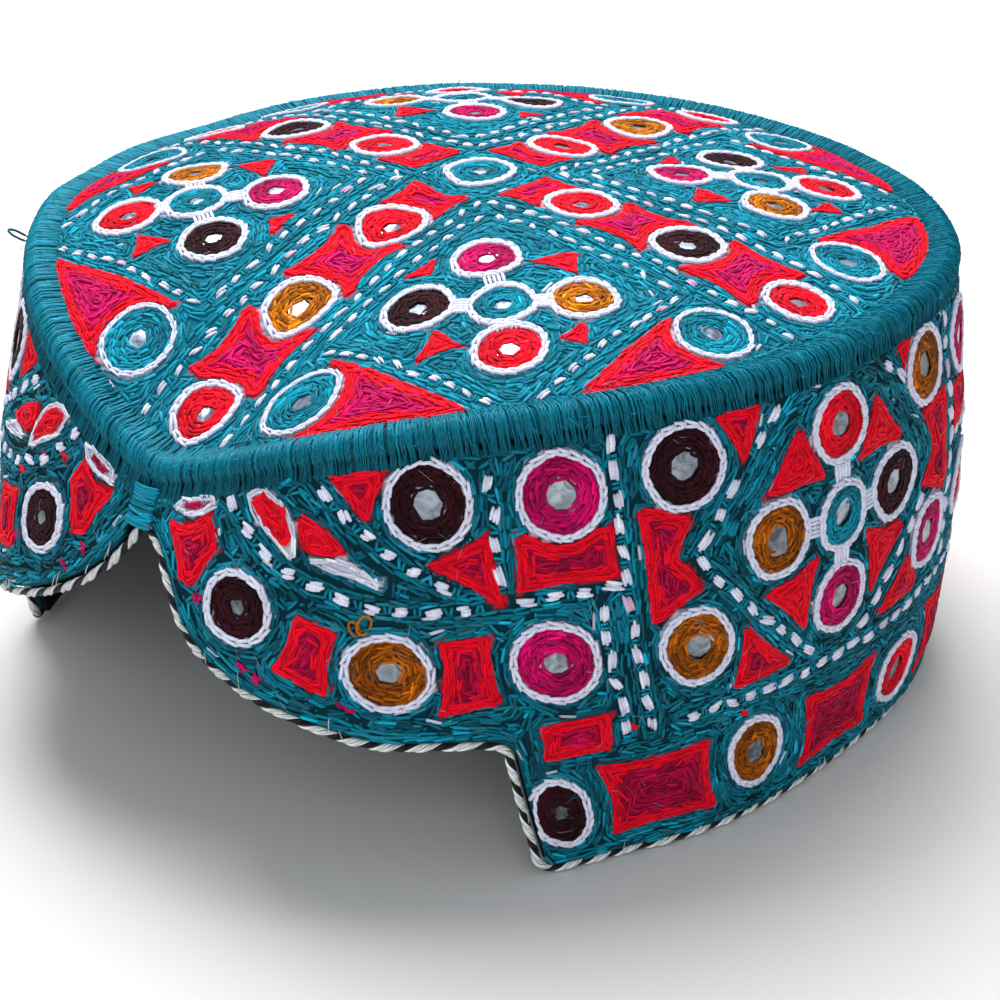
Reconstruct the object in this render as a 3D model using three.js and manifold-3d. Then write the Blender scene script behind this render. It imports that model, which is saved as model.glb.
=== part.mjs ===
// An embroidered cloth cap with a flat round crown, a stiff side band and an arched front edge.
// Millimetres, +Z up. The cap stands on its lower edge at z = 0, with its front toward -Y.
// Angles round the cap are in degrees, measured from the front and positive toward +X.

import * as THREE from 'three';
import { mergeVertices } from 'three/addons/utils/BufferGeometryUtils.js';
import Module from 'manifold-3d';

// Overall form
const RIM_RADIUS = 86;
const WALL_HEIGHT = 88;
const WALL_BULGE = 4;
const DOME_RISE = 9;
const FRONT_DROOP = 20.8;
const DROOP_REACH_DEG = 26.5;

// How square the dome's shoulder is, how sharply the rim folds at the front, how far in it is felt
const DOME_POWER = 2.6;
const FOLD_POWER = 1.4;
const DROOP_POWER = 1.4;

// How far the rim has settled round the back, and how close to the rim this is felt
const RIM_SAG = 4;
const SAG_POWER = 4;

// A shallow dent in the crown, behind its middle
const DENT_DEPTH = 2.2;
const DENT = { x: 0.14, y: 0.465, reach: 0.325 };

// Cloth, roll, cord and seam
const CLOTH_THICKNESS = 2.2;
const CROWN_THICKNESS = 2.4;
const LINING_THICKNESS = 1;
const ROLL_WIDTH = 5;
const ROLL_INSET = 1.5;
const ROLL_SINK = 1.4;
const CORD_DIAMETER = 2.2;
const SEAM_WIDTH = 5.2;
const SEAM_LENGTH = 4.6;
const SEAM_PROUD = 0.9;
const EDGE_FILLET = 2.5;
const GAP = 0.3;

// Mirror medallions, worked in thread on the cloth
const MEDALLION_RADIUS = 6.9;
const MEDALLION_HEIGHT = 0.7;
const MEDALLION_ROOT = 0.9;
const MEDALLION_SLOPE = 0.6;
const MEDALLION_SIDES = 7;

// Mesh fineness
const CROWN_SECTORS = 56;
const CROWN_RINGS = 5;
const ROLL_SECTORS = 56;
const ROLL_SIDES = 8;
const BAND_ROWS = 4;
const LINING_ROWS = 3;
const CORD_SIDES = 6;
const BACK_STEPS = 22;

const DEG = Math.PI / 180;
const ARC_MM_PER_DEG = RIM_RADIUS * DEG;
const ROLL_RADIUS = ROLL_WIDTH / 2;
const CORD_RADIUS = CORD_DIAMETER / 2;

// The plan is nearly round. Radii at the rim and at the floor, as shares of RIM_RADIUS.
const PLAN = [
  { angle: 0, rim: 1.0, floor: 1.2 },
  { angle: 20, rim: 1.0, floor: 1.2 },
  { angle: 45, rim: 0.995, floor: 1.085 },
  { angle: 60, rim: 0.995, floor: 1.045 },
  { angle: 90, rim: 1.01, floor: 1.012 },
  { angle: 120, rim: 1.045, floor: 1.05 },
  { angle: 150, rim: 1.02, floor: 1.04 },
  { angle: 180, rim: 1.0, floor: 1.02 },
];

// The cloth leans outward round the cap below the lobes: how far the floor runs ahead of the rim.
const LEAN = [
  { angle: 0, lean: 0 },
  { angle: 20, lean: 5 },
  { angle: 40, lean: 7.5 },
  { angle: 55, lean: 7.5 },
  { angle: 86, lean: 0 },
  { angle: 180, lean: 0 },
];

// How much of RIM_SAG each side has: the left has settled more.
const SAG = [
  { angle: 0, right: 0, left: 0 },
  { angle: 55, right: 0, left: 0 },
  { angle: 75, right: 0.06, left: 0.65 },
  { angle: 98, right: 0.1, left: 1 },
  { angle: 116, right: 0.1, left: 0.94 },
  { angle: 140, right: 0.14, left: 0.66 },
  { angle: 156, right: 0.4, left: 0.58 },
  { angle: 180, right: 0.42, left: 0.42 },
];

// The front edge: two lobes that meet in a cusp under the seam.
// Heights are shares of the cusp's height. The two sides are not quite alike.
const LOBE = [
  { angle: 0, right: 1.0, left: 1.0 },
  { angle: 2.4, right: 0.985, left: 0.9 },
  { angle: 4.5, right: 0.92, left: 0.83 },
  { angle: 8, right: 0.77, left: 0.745 },
  { angle: 13.5, right: 0.66, left: 0.645 },
  { angle: 21, right: 0.585, left: 0.555 },
  { angle: 27, right: 0.525, left: 0.52 },
  { angle: 33, right: 0.5, left: 0.5 },
];
const STEP = { angle: 40, height: 0.49 };

// Medallions of the crown in one quadrant, as shares of RIM_RADIUS. Signs repeat them round it.
const CROWN_CHART = [
  { x: 0, y: 0, size: 1 },
  { x: 0.288, y: 0, size: 1 },
  { x: 0.573, y: 0, size: 1 },
  { x: 0.849, y: 0, size: 1 },
  { x: 0, y: 0.288, size: 1 },
  { x: 0, y: 0.573, size: 1 },
  { x: 0, y: 0.849, size: 1 },
  { x: 0.445, y: 0.445, size: 0.94 },
  { x: 0.305, y: 0.333, size: 0.94 },
  { x: 0.557, y: 0.335, size: 0.94 },
  { x: 0.552, y: 0.55, size: 0.94 },
  { x: 0.3, y: 0.535, size: 0.94 },
  { x: 0.24, y: 0.815, size: 1 },
  { x: 0.815, y: 0.235, size: 1 },
];

// Medallions of one half of the side band: angle, and height as a share of WALL_HEIGHT.
const BAND_CHART = [
  { angle: 14.5, height: 0.58, size: 1 },
  { angle: 30, height: 0.493, size: 1 },
  { angle: 35.1, height: 0.81, size: 1 },
  { angle: 46.6, height: 0.499, size: 1 },
  { angle: 49.2, height: 0.825, size: 1 },
  { angle: 45.6, height: 0.157, size: 0.85 },
  { angle: 62.9, height: 0.48, size: 1 },
  { angle: 63.2, height: 0.855, size: 1 },
  { angle: 71.2, height: 0.186, size: 1 },
  { angle: 101.9, height: 0.157, size: 1 },
  { angle: 103.4, height: 0.855, size: 1 },
  { angle: 104.6, height: 0.473, size: 1 },
  { angle: 117, height: 0.836, size: 1 },
  { angle: 117, height: 0.499, size: 1 },
  { angle: 128.5, height: 0.157, size: 1 },
  { angle: 130.6, height: 0.855, size: 1 },
  { angle: 129.4, height: 0.48, size: 1 },
  { angle: 154.5, height: 0.157, size: 1 },
  { angle: 166.4, height: 0.855, size: 1 },
  { angle: 167.6, height: 0.48, size: 1 },
  { angle: 180, height: 0.157, size: 1 },
  { angle: 180, height: 0.499, size: 1 },
  { angle: 180, height: 0.825, size: 1 },
];

// Five medallions in a cross, the middle of each diamond panel of the side band.
const CLUSTER_ANGLES = [85.1, 148.5];
const CLUSTER_CHART = [
  { angle: 0, height: 0.656, size: 0.94 },
  { angle: 0, height: 0.849, size: 0.94 },
  { angle: 0, height: 0.477, size: 0.94 },
  { angle: -10.2, height: 0.662, size: 0.94 },
  { angle: 10.2, height: 0.657, size: 0.94 },
];

const wasm = await Module();
wasm.setup();

// Value of a table's column at an angle on either side, eased from row to row.
function eased(table, column, angle) {
  const at = Math.min(Math.abs(angle), 180);
  const next = Math.max(1, table.findIndex((row) => row.angle >= at));
  const low = table[next - 1];
  const high = table[next];
  const share = THREE.MathUtils.smoothstep(at, low.angle, high.angle);
  return THREE.MathUtils.lerp(low[column], high[column], share);
}

function rimRadius(angle) {
  return RIM_RADIUS * eased(PLAN, 'rim', angle);
}

// The crown's edge droops toward the front seam.
function frontDroop(angle) {
  return FRONT_DROOP * Math.exp(-((Math.abs(angle) / DROOP_REACH_DEG) ** FOLD_POWER));
}

function rimSag(angle) {
  return RIM_SAG * eased(SAG, angle < 0 ? 'left' : 'right', angle);
}

function rimHeight(angle) {
  return WALL_HEIGHT - frontDroop(angle) - rimSag(angle);
}

// The height at which the wall ends, just under the roll
function wallTop(angle) {
  return rimHeight(angle) - ROLL_SINK - ROLL_RADIUS - GAP;
}

// A point on the side band at an angle and height, some way in from its outer face.
function bandPoint(angle, height, depth) {
  const sign = Math.sign(angle);
  const turned = angle + sign * eased(LEAN, 'lean', angle) * (1 - height / WALL_HEIGHT) ** 2;
  const share = THREE.MathUtils.clamp(1 - height / rimHeight(turned), 0, 1);
  const rim = rimRadius(turned);
  const floor = RIM_RADIUS * eased(PLAN, 'floor', turned);
  const bulge = WALL_BULGE * Math.sin(Math.PI * share);
  const radius = THREE.MathUtils.lerp(rim, floor, share) + bulge - depth;
  return new THREE.Vector3(radius * Math.sin(turned * DEG), -radius * Math.cos(turned * DEG), height);
}

// A point on the crown at an angle, some share of the way out to its edge.
function crownPoint(angle, share, edgeRadius) {
  const radius = share * edgeRadius;
  const x = radius * Math.sin(angle * DEG);
  const y = -radius * Math.cos(angle * DEG);
  const rise = DOME_RISE * (1 - share ** DOME_POWER);
  const fall = frontDroop(angle) * share ** DROOP_POWER + rimSag(angle) * share ** SAG_POWER;
  const away = Math.hypot(x / RIM_RADIUS - DENT.x, y / RIM_RADIUS - DENT.y) / DENT.reach;
  const dent = DENT_DEPTH * Math.exp(-(away ** 2));
  return new THREE.Vector3(x, y, WALL_HEIGHT + rise - fall - dent);
}

function geometryOf(points, triangles) {
  const geometry = new THREE.BufferGeometry();
  geometry.setAttribute('position', new THREE.Float32BufferAttribute(points.flatMap((p) => p.toArray()), 3));
  geometry.setIndex(triangles);
  geometry.computeVertexNormals();
  return geometry;
}

// A tube through a closed row of sections, each a closed ring of points.
function loopGeometry(sections) {
  const count = sections[0].length;
  const triangles = [];
  sections.forEach((_, i) => {
    const here = i * count;
    const ahead = ((i + 1) % sections.length) * count;
    for (let k = 0; k < count; k += 1) {
      const next = (k + 1) % count;
      triangles.push(here + k, ahead + k, ahead + next, here + k, ahead + next, here + next);
    }
  });
  return geometryOf(sections.flat(), triangles);
}

// A strip of cloth with open ends: the same ring sections, with a cap at each end.
function stripGeometry(sections) {
  const count = sections[0].length;
  const rows = count / 2;
  const last = (sections.length - 1) * count;
  const triangles = [];
  for (let i = 0; i < sections.length - 1; i += 1) {
    const here = i * count;
    const ahead = here + count;
    for (let k = 0; k < count; k += 1) {
      const next = (k + 1) % count;
      triangles.push(here + k, ahead + k, ahead + next, here + k, ahead + next, here + next);
    }
  }
  for (let k = 0; k < rows - 1; k += 1) {
    const across = count - 1 - k;
    triangles.push(k, k + 1, across - 1, k, across - 1, across);
    triangles.push(last + k, last + across - 1, last + k + 1, last + k, last + across, last + across - 1);
  }
  return geometryOf(sections.flat(), triangles);
}

function solidOf(geometry) {
  const bare = geometry.clone();
  bare.deleteAttribute('normal');
  bare.deleteAttribute('uv');
  const merged = mergeVertices(bare, 1e-4);
  const mesh = new wasm.Mesh({
    numProp: 3,
    vertProperties: new Float32Array(merged.attributes.position.array),
    triVerts: new Uint32Array(merged.index.array),
  });
  return new wasm.Manifold(mesh);
}

function geometryFrom(solid) {
  const mesh = solid.getMesh();
  const geometry = new THREE.BufferGeometry();
  geometry.setAttribute('position', new THREE.Float32BufferAttribute(mesh.vertProperties, 3));
  geometry.setIndex(Array.from(mesh.triVerts));
  geometry.computeVertexNormals();
  return geometry;
}

// One raised medallion: a low round boss with a sloping side, rooted in the cloth.
function medallion(point, outward, size) {
  const radius = MEDALLION_RADIUS * size;
  const height = MEDALLION_HEIGHT + MEDALLION_ROOT;
  const boss = new THREE.CylinderGeometry(radius - MEDALLION_SLOPE, radius, height, MEDALLION_SIDES);
  boss.translate(0, height / 2 - MEDALLION_ROOT, 0);
  const turn = new THREE.Quaternion().setFromUnitVectors(new THREE.Vector3(0, 1, 0), outward);
  boss.applyQuaternion(turn);
  boss.translate(point.x, point.y, point.z);
  return solidOf(boss);
}

// The direction that a surface faces, from two short steps along it.
function facing(point, alongA, alongB) {
  const a = alongA.clone().sub(point);
  const b = alongB.clone().sub(point);
  return a.cross(b).normalize();
}

// The lower edge on one side, laid flat: millimetres round the rim, and height.
function edgeOfSide(column) {
  const cusp = wallTop(0) - SEAM_LENGTH - GAP - CORD_RADIUS;
  const rows = LOBE.map((row) => new THREE.Vector2(row.angle * ARC_MM_PER_DEG, row[column] * cusp));
  const stepX = STEP.angle * ARC_MM_PER_DEG;
  const stepY = STEP.height * cusp;
  const path = new THREE.Path();
  path.moveTo(rows[0].x, rows[0].y);
  path.splineThru(rows.slice(1).concat(new THREE.Vector2(stepX - EDGE_FILLET, stepY)));
  path.quadraticCurveTo(stepX, stepY, stepX, stepY - EDGE_FILLET);
  path.lineTo(stepX, CORD_RADIUS + EDGE_FILLET);
  path.quadraticCurveTo(stepX, CORD_RADIUS, stepX + EDGE_FILLET, CORD_RADIUS);
  path.lineTo(180 * ARC_MM_PER_DEG, CORD_RADIUS);
  const steps = [14, 3, 4, 3, BACK_STEPS];
  const points = path.curves.flatMap((curve, i) => curve.getSpacedPoints(steps[i]).slice(0, -1));
  return points.concat(path.curves.at(-1).getPoint(1));
}

// The whole edge as a closed row, from the cusp round by the right side, the back and the left.
function wholeEdge() {
  const right = edgeOfSide('right');
  const left = edgeOfSide('left').slice(1, -1).reverse();
  const round = 360 * ARC_MM_PER_DEG;
  return right.concat(left.map((p) => new THREE.Vector2(round - p.x, p.y)));
}

function angleOf(flat) {
  const angle = flat / ARC_MM_PER_DEG;
  return angle > 180 ? angle - 360 : angle;
}

// The edge moved a distance into the cloth, square to its own run.
function insetEdge(edge, distance) {
  const round = 360 * ARC_MM_PER_DEG;
  return edge.map((point, i) => {
    const before = edge[(i + edge.length - 1) % edge.length].clone();
    const after = edge[(i + 1) % edge.length].clone();
    if (i === 0) before.x -= round;
    if (i === edge.length - 1) after.x += round;
    const run = after.sub(before).normalize();
    return new THREE.Vector2(point.x - run.y * distance, point.y + run.x * distance);
  });
}

// Sections of the cloth wall: each runs from the edge up to the roll, out and back in.
function wallSections(columns, rows, outerDepth, innerDepth) {
  return columns.map(({ low, top }) => {
    const limit = wallTop(angleOf(top));
    const spots = Array.from({ length: rows + 1 }, (_, k) => {
      const share = k / rows;
      const flat = THREE.MathUtils.lerp(low.x, top, share);
      return { angle: angleOf(flat), height: THREE.MathUtils.lerp(low.y, limit, share) };
    });
    const outer = spots.map((spot) => bandPoint(spot.angle, spot.height, outerDepth));
    const inner = spots.map((spot) => bandPoint(spot.angle, spot.height, innerDepth)).reverse();
    return outer.concat(inner);
  });
}

// Where each section of the wall ends at the roll, measured round the rim.
// The ends are evenly spread, so that the sections fan out from the steps.
function topsFor(edge) {
  const lengths = [0];
  for (let i = 1; i < edge.length; i += 1) {
    lengths.push(lengths[i - 1] + edge[i].distanceTo(edge[i - 1]));
  }
  const right = edge.findIndex((point) => point.x >= 180 * ARC_MM_PER_DEG - 1e-6);
  const half = 180 * ARC_MM_PER_DEG;
  const whole = lengths.at(-1) + edge[0].clone().setX(2 * half).distanceTo(edge.at(-1));
  return lengths.map((length, i) => {
    if (i <= right) return half * (length / lengths[right]);
    return half + half * ((length - lengths[right]) / (whole - lengths[right]));
  });
}

function makeCrown() {
  const edgeInset = ROLL_INSET + ROLL_RADIUS + GAP;
  const shares = Array.from({ length: CROWN_RINGS + 1 }, (_, i) => Math.sin((i / CROWN_RINGS) * 0.5 * Math.PI));
  const under = shares.map((share) => new THREE.Vector2(share, -1));
  const over = shares.map((share) => new THREE.Vector2(share, 0)).reverse();
  const disc = new THREE.LatheGeometry(under.concat(over), CROWN_SECTORS);
  const place = disc.attributes.position;
  for (let i = 0; i < place.count; i += 1) {
    const share = Math.min(1, Math.hypot(place.getX(i), place.getZ(i)));
    const angle = Math.atan2(place.getX(i), place.getZ(i)) / DEG;
    const point = crownPoint(angle, share, rimRadius(angle) - edgeInset);
    place.setXYZ(i, point.x, point.y, point.z + place.getY(i) * CROWN_THICKNESS);
  }
  const bosses = CROWN_CHART.flatMap((spot) => {
    const turns = [[1, 1], [-1, 1], [1, -1], [-1, -1]];
    const places = turns.map(([a, b]) => [a * spot.x || 0, b * spot.y || 0]);
    const once = [...new Map(places.map((pair) => [pair.join(), pair])).values()];
    return once.map(([x, y]) => {
      const at = (dx, dy) => {
        const angle = Math.atan2(x + dx, -(y + dy)) / DEG;
        const edge = rimRadius(angle) - edgeInset;
        return crownPoint(angle, Math.min(1, Math.hypot(x + dx, y + dy) * RIM_RADIUS / edge), edge);
      };
      const outward = facing(at(0, 0), at(0.05, 0), at(0, 0.05));
      return medallion(at(0, 0), outward, spot.size);
    });
  });
  return geometryFrom(wasm.Manifold.union([solidOf(disc), ...bosses]));
}

function makeCrownRoll() {
  const sections = Array.from({ length: ROLL_SECTORS }, (_, i) => {
    const angle = (i / ROLL_SECTORS) * 360;
    const signed = angle > 180 ? angle - 360 : angle;
    return Array.from({ length: ROLL_SIDES }, (_, k) => {
      const turn = ((k + 0.5) / ROLL_SIDES) * 2 * Math.PI;
      const corner = ROLL_RADIUS / Math.cos(Math.PI / ROLL_SIDES);
      const radius = rimRadius(signed) - ROLL_INSET + corner * Math.cos(turn);
      const height = rimHeight(signed) - ROLL_SINK + corner * Math.sin(turn);
      return new THREE.Vector3(radius * Math.sin(angle * DEG), -radius * Math.cos(angle * DEG), height);
    });
  });
  return loopGeometry(sections);
}

// The wall's sections as pairs: a low end on the inset edge and a top end at the roll.
function wallColumns() {
  const edge = wholeEdge();
  const tops = topsFor(edge);
  return insetEdge(edge, CORD_RADIUS + GAP).map((low, i) => ({ low, top: tops[i] }));
}

// A section between two others, upright at a given distance round the rim.
function columnAt(columns, flat) {
  const next = columns.findIndex((column, i) => i > 0 && column.low.x >= flat);
  const after = columns[next].low;
  const before = columns[next - 1].low;
  const share = (flat - before.x) / (after.x - before.x);
  return { low: before.clone().lerp(after, share), top: flat };
}

function makeSideBand() {
  const round = 360 * ARC_MM_PER_DEG;
  const start = SEAM_WIDTH / 2 + GAP;
  const end = round - start;
  const columns = wallColumns();
  const closing = { low: columns[0].low.clone().setX(round), top: round };
  const whole = [...columns, closing];
  const clear = columns.filter(({ low }) => low.x > start + CORD_RADIUS && low.x < end - CORD_RADIUS);
  const kept = [columnAt(whole, start), ...clear, columnAt(whole, end)];
  const sections = wallSections(kept, BAND_ROWS, 0, CLOTH_THICKNESS);
  const clusters = CLUSTER_ANGLES.flatMap((middle) =>
    CLUSTER_CHART.map((spot) => ({ ...spot, angle: middle + spot.angle })));
  const bosses = BAND_CHART.concat(clusters).flatMap((spot) => {
    const sides = spot.angle === 180 ? [1] : [1, -1];
    return sides.map((side) => {
      const height = spot.height * WALL_HEIGHT - rimSag(side * spot.angle) * spot.height ** 2;
      const point = bandPoint(side * spot.angle, height, 0);
      const beside = bandPoint(side * (spot.angle - 2), height, 0);
      const above = bandPoint(side * spot.angle, height + 2, 0);
      const outward = facing(point, beside, above).multiplyScalar(-side);
      return medallion(point, outward, spot.size);
    });
  });
  return geometryFrom(wasm.Manifold.union([solidOf(stripGeometry(sections)), ...bosses]));
}

function makeSideLining() {
  const columns = wallColumns().filter((_, i) => i % 2 === 0);
  const outerDepth = CLOTH_THICKNESS + GAP;
  return loopGeometry(wallSections(columns, LINING_ROWS, outerDepth, outerDepth + LINING_THICKNESS));
}

// The short stitched bar that joins the two ends of the side band, rounded on its face.
function makeFrontSeam() {
  const low = edgeOfSide('right')[0].y + CORD_RADIUS + GAP;
  const high = wallTop(0);
  const columns = [-1, -0.6, 0, 0.6, 1];
  const sections = columns.map((side) => {
    const angle = (side * SEAM_WIDTH) / 2 / ARC_MM_PER_DEG;
    const proud = SEAM_PROUD * (1 - side * side);
    const heights = [low, (low + high) / 2, high];
    const outer = heights.map((height) => bandPoint(angle, height, -proud));
    const inner = heights.map((height) => bandPoint(angle, height, CLOTH_THICKNESS)).reverse();
    return outer.concat(inner);
  });
  return stripGeometry(sections);
}

// A twisted cord along the whole edge. One of its flats faces down, and the cap stands on it.
function makeEdgeCord() {
  const edge = wholeEdge();
  const depth = CLOTH_THICKNESS / 2;
  const route = edge.map((point) => bandPoint(angleOf(point.x), point.y, depth));
  const sections = route.map((point, i) => {
    const before = route[(i + route.length - 1) % route.length];
    const after = route[(i + 1) % route.length];
    const run = after.clone().sub(before).normalize();
    const out = new THREE.Vector3(point.x, point.y, 0).normalize();
    const across = new THREE.Vector3().crossVectors(out, run).normalize();
    const side = new THREE.Vector3().crossVectors(run, across);
    return Array.from({ length: CORD_SIDES }, (_, k) => {
      const turn = ((k + 0.5) / CORD_SIDES) * 2 * Math.PI - Math.PI / 2;
      const corner = CORD_RADIUS / Math.cos(Math.PI / CORD_SIDES);
      const shift = side.clone().multiplyScalar(corner * Math.cos(turn));
      return point.clone().add(shift).addScaledVector(across, corner * Math.sin(turn));
    });
  });
  return loopGeometry(sections);
}

const CLOTH = { color: 0x0c5a60, roughness: 0.85, metalness: 0 };
const PARTS = [
  { name: 'crown', make: makeCrown, finish: { ...CLOTH, color: 0x0d7280 } },
  { name: 'crown_roll', make: makeCrownRoll, finish: { ...CLOTH, roughness: 0.6 } },
  { name: 'side_band', make: makeSideBand, finish: CLOTH },
  { name: 'side_lining', make: makeSideLining, finish: { color: 0x0a0a0c, roughness: 0.9, metalness: 0 } },
  { name: 'front_seam', make: makeFrontSeam, finish: { ...CLOTH, roughness: 0.6 } },
  { name: 'edge_cord', make: makeEdgeCord, finish: { color: 0xc8c8c4, roughness: 0.5, metalness: 0.4 } },
];

const cap = new THREE.Group();
for (const part of PARTS) {
  const mesh = new THREE.Mesh(part.make(), new THREE.MeshStandardMaterial(part.finish));
  mesh.name = part.name;
  cap.add(mesh);
}

// The origin is the middle of the footprint, on the surface that the cap stands on.
const box = new THREE.Box3().setFromObject(cap);
cap.position.set(-(box.min.x + box.max.x) / 2, -(box.min.y + box.max.y) / 2, 0);

export default cap;
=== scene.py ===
"""An embroidered cloth cap: thread work, mirrors, satin roll, twisted cord and lining.

Lengths are in millimetres and angles in degrees, until mesh_piece turns them into metres.
Angles round the cap run from the front, which faces -Y, and grow toward +X.
"""
import math
from itertools import product

import bmesh
import bpy
import numpy as np
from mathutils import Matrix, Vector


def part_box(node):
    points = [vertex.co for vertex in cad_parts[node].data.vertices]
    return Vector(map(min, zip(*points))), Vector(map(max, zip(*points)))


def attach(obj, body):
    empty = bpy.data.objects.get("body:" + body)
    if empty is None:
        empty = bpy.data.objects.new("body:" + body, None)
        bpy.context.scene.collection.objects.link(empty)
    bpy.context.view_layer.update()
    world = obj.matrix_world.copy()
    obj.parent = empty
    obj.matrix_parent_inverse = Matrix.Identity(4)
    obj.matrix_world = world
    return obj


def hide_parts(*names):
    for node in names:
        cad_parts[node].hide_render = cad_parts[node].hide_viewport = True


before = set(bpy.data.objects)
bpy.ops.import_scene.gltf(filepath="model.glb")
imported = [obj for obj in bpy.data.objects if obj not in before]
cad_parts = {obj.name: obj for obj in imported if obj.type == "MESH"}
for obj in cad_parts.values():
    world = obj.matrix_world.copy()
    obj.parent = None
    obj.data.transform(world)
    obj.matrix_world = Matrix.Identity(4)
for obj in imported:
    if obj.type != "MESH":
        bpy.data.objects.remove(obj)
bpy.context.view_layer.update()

# Form of the cap, as in the part's source
RIM_RADIUS = 86.0
WALL_HEIGHT = 88.0
WALL_BULGE = 4.0
DOME_RISE = 9.0
FRONT_DROOP = 20.8
DROOP_REACH_DEG = 26.5
DOME_POWER = 2.6
FOLD_POWER = 1.4
DROOP_POWER = 1.4
RIM_SAG = 4.0
SAG_POWER = 4.0
DENT_DEPTH = 2.2
DENT = {"x": 0.14, "y": 0.465, "reach": 0.325}
CLOTH_THICKNESS = 2.2
CROWN_THICKNESS = 2.4
LINING_THICKNESS = 1.0
ROLL_RADIUS = 2.5
ROLL_INSET = 1.5
ROLL_SINK = 1.4
CORD_RADIUS = 1.1
SEAM_WIDTH = 5.2
SEAM_LENGTH = 4.6
EDGE_FILLET = 2.5
GAP = 0.3
PLAN = {
    "angle": (0, 20, 45, 60, 90, 120, 150, 180),
    "rim": (1.0, 1.0, 0.995, 0.995, 1.01, 1.045, 1.02, 1.0),
    "floor": (1.2, 1.2, 1.085, 1.045, 1.012, 1.05, 1.04, 1.02),
}
LEAN = {
    "angle": (0, 20, 40, 55, 86, 180),
    "lean": (0, 5, 7.5, 7.5, 0, 0),
}
SAG = {
    "angle": (0, 55, 75, 98, 116, 140, 156, 180),
    "right": (0, 0, 0.06, 0.1, 0.1, 0.14, 0.4, 0.42),
    "left": (0, 0, 0.65, 1, 0.94, 0.66, 0.58, 0.42),
}
LOBE = {
    "angle": (0, 2.4, 4.5, 8, 13.5, 21, 27, 33),
    "right": (1.0, 0.985, 0.92, 0.77, 0.66, 0.585, 0.525, 0.5),
    "left": (1.0, 0.9, 0.83, 0.745, 0.645, 0.555, 0.52, 0.5),
}
STEP_ANGLE = 40.0
STEP_SHARE = 0.49

# The pattern of the side band is charted flat, at the band's middle radius
CHART_RADIUS = 90.0
CHART_MM_PER_DEG = math.radians(CHART_RADIUS)
RIM_MM_PER_DEG = math.radians(RIM_RADIUS)
BACK = 180.0 * CHART_MM_PER_DEG

# Thread sizes
RING_RADIUS = 7.0
RING_WHITE = 1.4
RING_ROW = 0.82
MIRROR_RADIUS = 2.4
ROW_WIDTH = 1.08
ROW_DRIFT = 0.5
PATCH_ROW = 0.9
PATCH_SWELL = 0.55
PATCH_CLEAR = 0.55
PATCH_RIM = {"scarlet": 1.5, "white": 0.9}
PATCH_RIM_ROWS = {"scarlet": 2, "white": 1}
MIRROR_LAP = 0.6
MIRROR_THICKNESS = 0.5
GROUND_CHAIN = {"pitch": 2.5, "half": 0.4, "spread": 0.17, "lap": 0.22}
PATCH_CHAIN = {"pitch": 2.2, "half": 0.25, "spread": 0.12, "lap": 0.36}
RING_CHAIN = {"pitch": 1.95, "half": 0.32, "spread": 0.12, "lap": 0.28}
WHITE_CHAIN = {"pitch": 2.2, "half": 0.4, "spread": 0.05, "lap": 0.22}
DASH_HALF = 0.8
FIELD_STEP = 0.5
FIELD_REACH = 14.0
FIELD_FAR = 1e3
BED_SKIP = 2
BED_SHADE = 0.62
TAU = 2 * np.pi

# Thread colours, linear
COLOURS = {
    "teal": (0.0, 0.225, 0.33),
    "scarlet": (0.93, 0.0, 0.018),
    "crimson": (0.42, 0.0, 0.045),
    "cerise": (0.6, 0.0, 0.11),
    "magenta": (0.5, 0.0, 0.1),
    "brown": (0.025, 0.002, 0.005),
    "ochre": (0.5, 0.14, 0.0),
    # Painted shade: the ochre darkened and browned, for the rings on the band.
    "umber": (0.33, 0.078, 0.0),
    "white": (0.72, 0.73, 0.88),
}
TEAL = COLOURS["teal"]
WHITE = COLOURS["white"]
# Dark teal of the cloth, roll core and seam core under the threads: painted shade, so the gaps between
# threads read as shadow. The loose loop on the roll is dark teal too.
TEAL_DEEP = (0.0, 0.06, 0.085)
# Painted highlight, added to a few ground stitches as glints.
GLINT_TEAL = (0.02, 0.055, 0.065)
SILVER = (0.66, 0.67, 0.66)
BLACK = (0.006, 0.006, 0.008)

rng = np.random.default_rng(29)

# The roll is centred on the crown, so its box gives the crown's place in the frame
roll_low, roll_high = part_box("crown_roll")
CROWN_Y = 500.0 * (roll_low[1] + roll_high[1])


def eased(table, column, angle):
    """A table's column at an angle on either side, eased from row to row."""
    angles = np.array(table["angle"], dtype=float)
    values = np.array(table[column], dtype=float)
    at = np.minimum(np.abs(angle), 180.0)
    high = np.clip(np.searchsorted(angles, at), 1, len(angles) - 1)
    low = high - 1
    share = (at - angles[low]) / (angles[high] - angles[low])
    share = share * share * (3 - 2 * share)
    return values[low] + (values[high] - values[low]) * share


def rim_radius(angle):
    return RIM_RADIUS * eased(PLAN, "rim", angle)


def front_droop(angle):
    return FRONT_DROOP * np.exp(-(np.abs(angle) / DROOP_REACH_DEG) ** FOLD_POWER)


def rim_sag(angle):
    return RIM_SAG * np.where(angle < 0, eased(SAG, "left", angle), eased(SAG, "right", angle))


def rim_height(angle):
    return WALL_HEIGHT - front_droop(angle) - rim_sag(angle)


def wall_top(angle):
    return rim_height(angle) - ROLL_SINK - ROLL_RADIUS - GAP


def crown_edge(angle):
    return rim_radius(angle) - ROLL_INSET - ROLL_RADIUS - GAP


def polar(radius, angle, height):
    turn = np.radians(angle)
    return np.stack([radius * np.sin(turn), CROWN_Y - radius * np.cos(turn), height + 0 * turn], -1)


def ripple(a, b):
    """The slight unevenness of hand-worked cloth."""
    slow = np.sin(0.11 * a + 1.3) * np.sin(0.13 * b + 0.4)
    quick = np.sin(0.31 * a - 0.27 * b + 2.0) + np.sin(0.23 * a + 0.37 * b)
    return 0.3 * slow + 0.12 * quick


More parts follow.
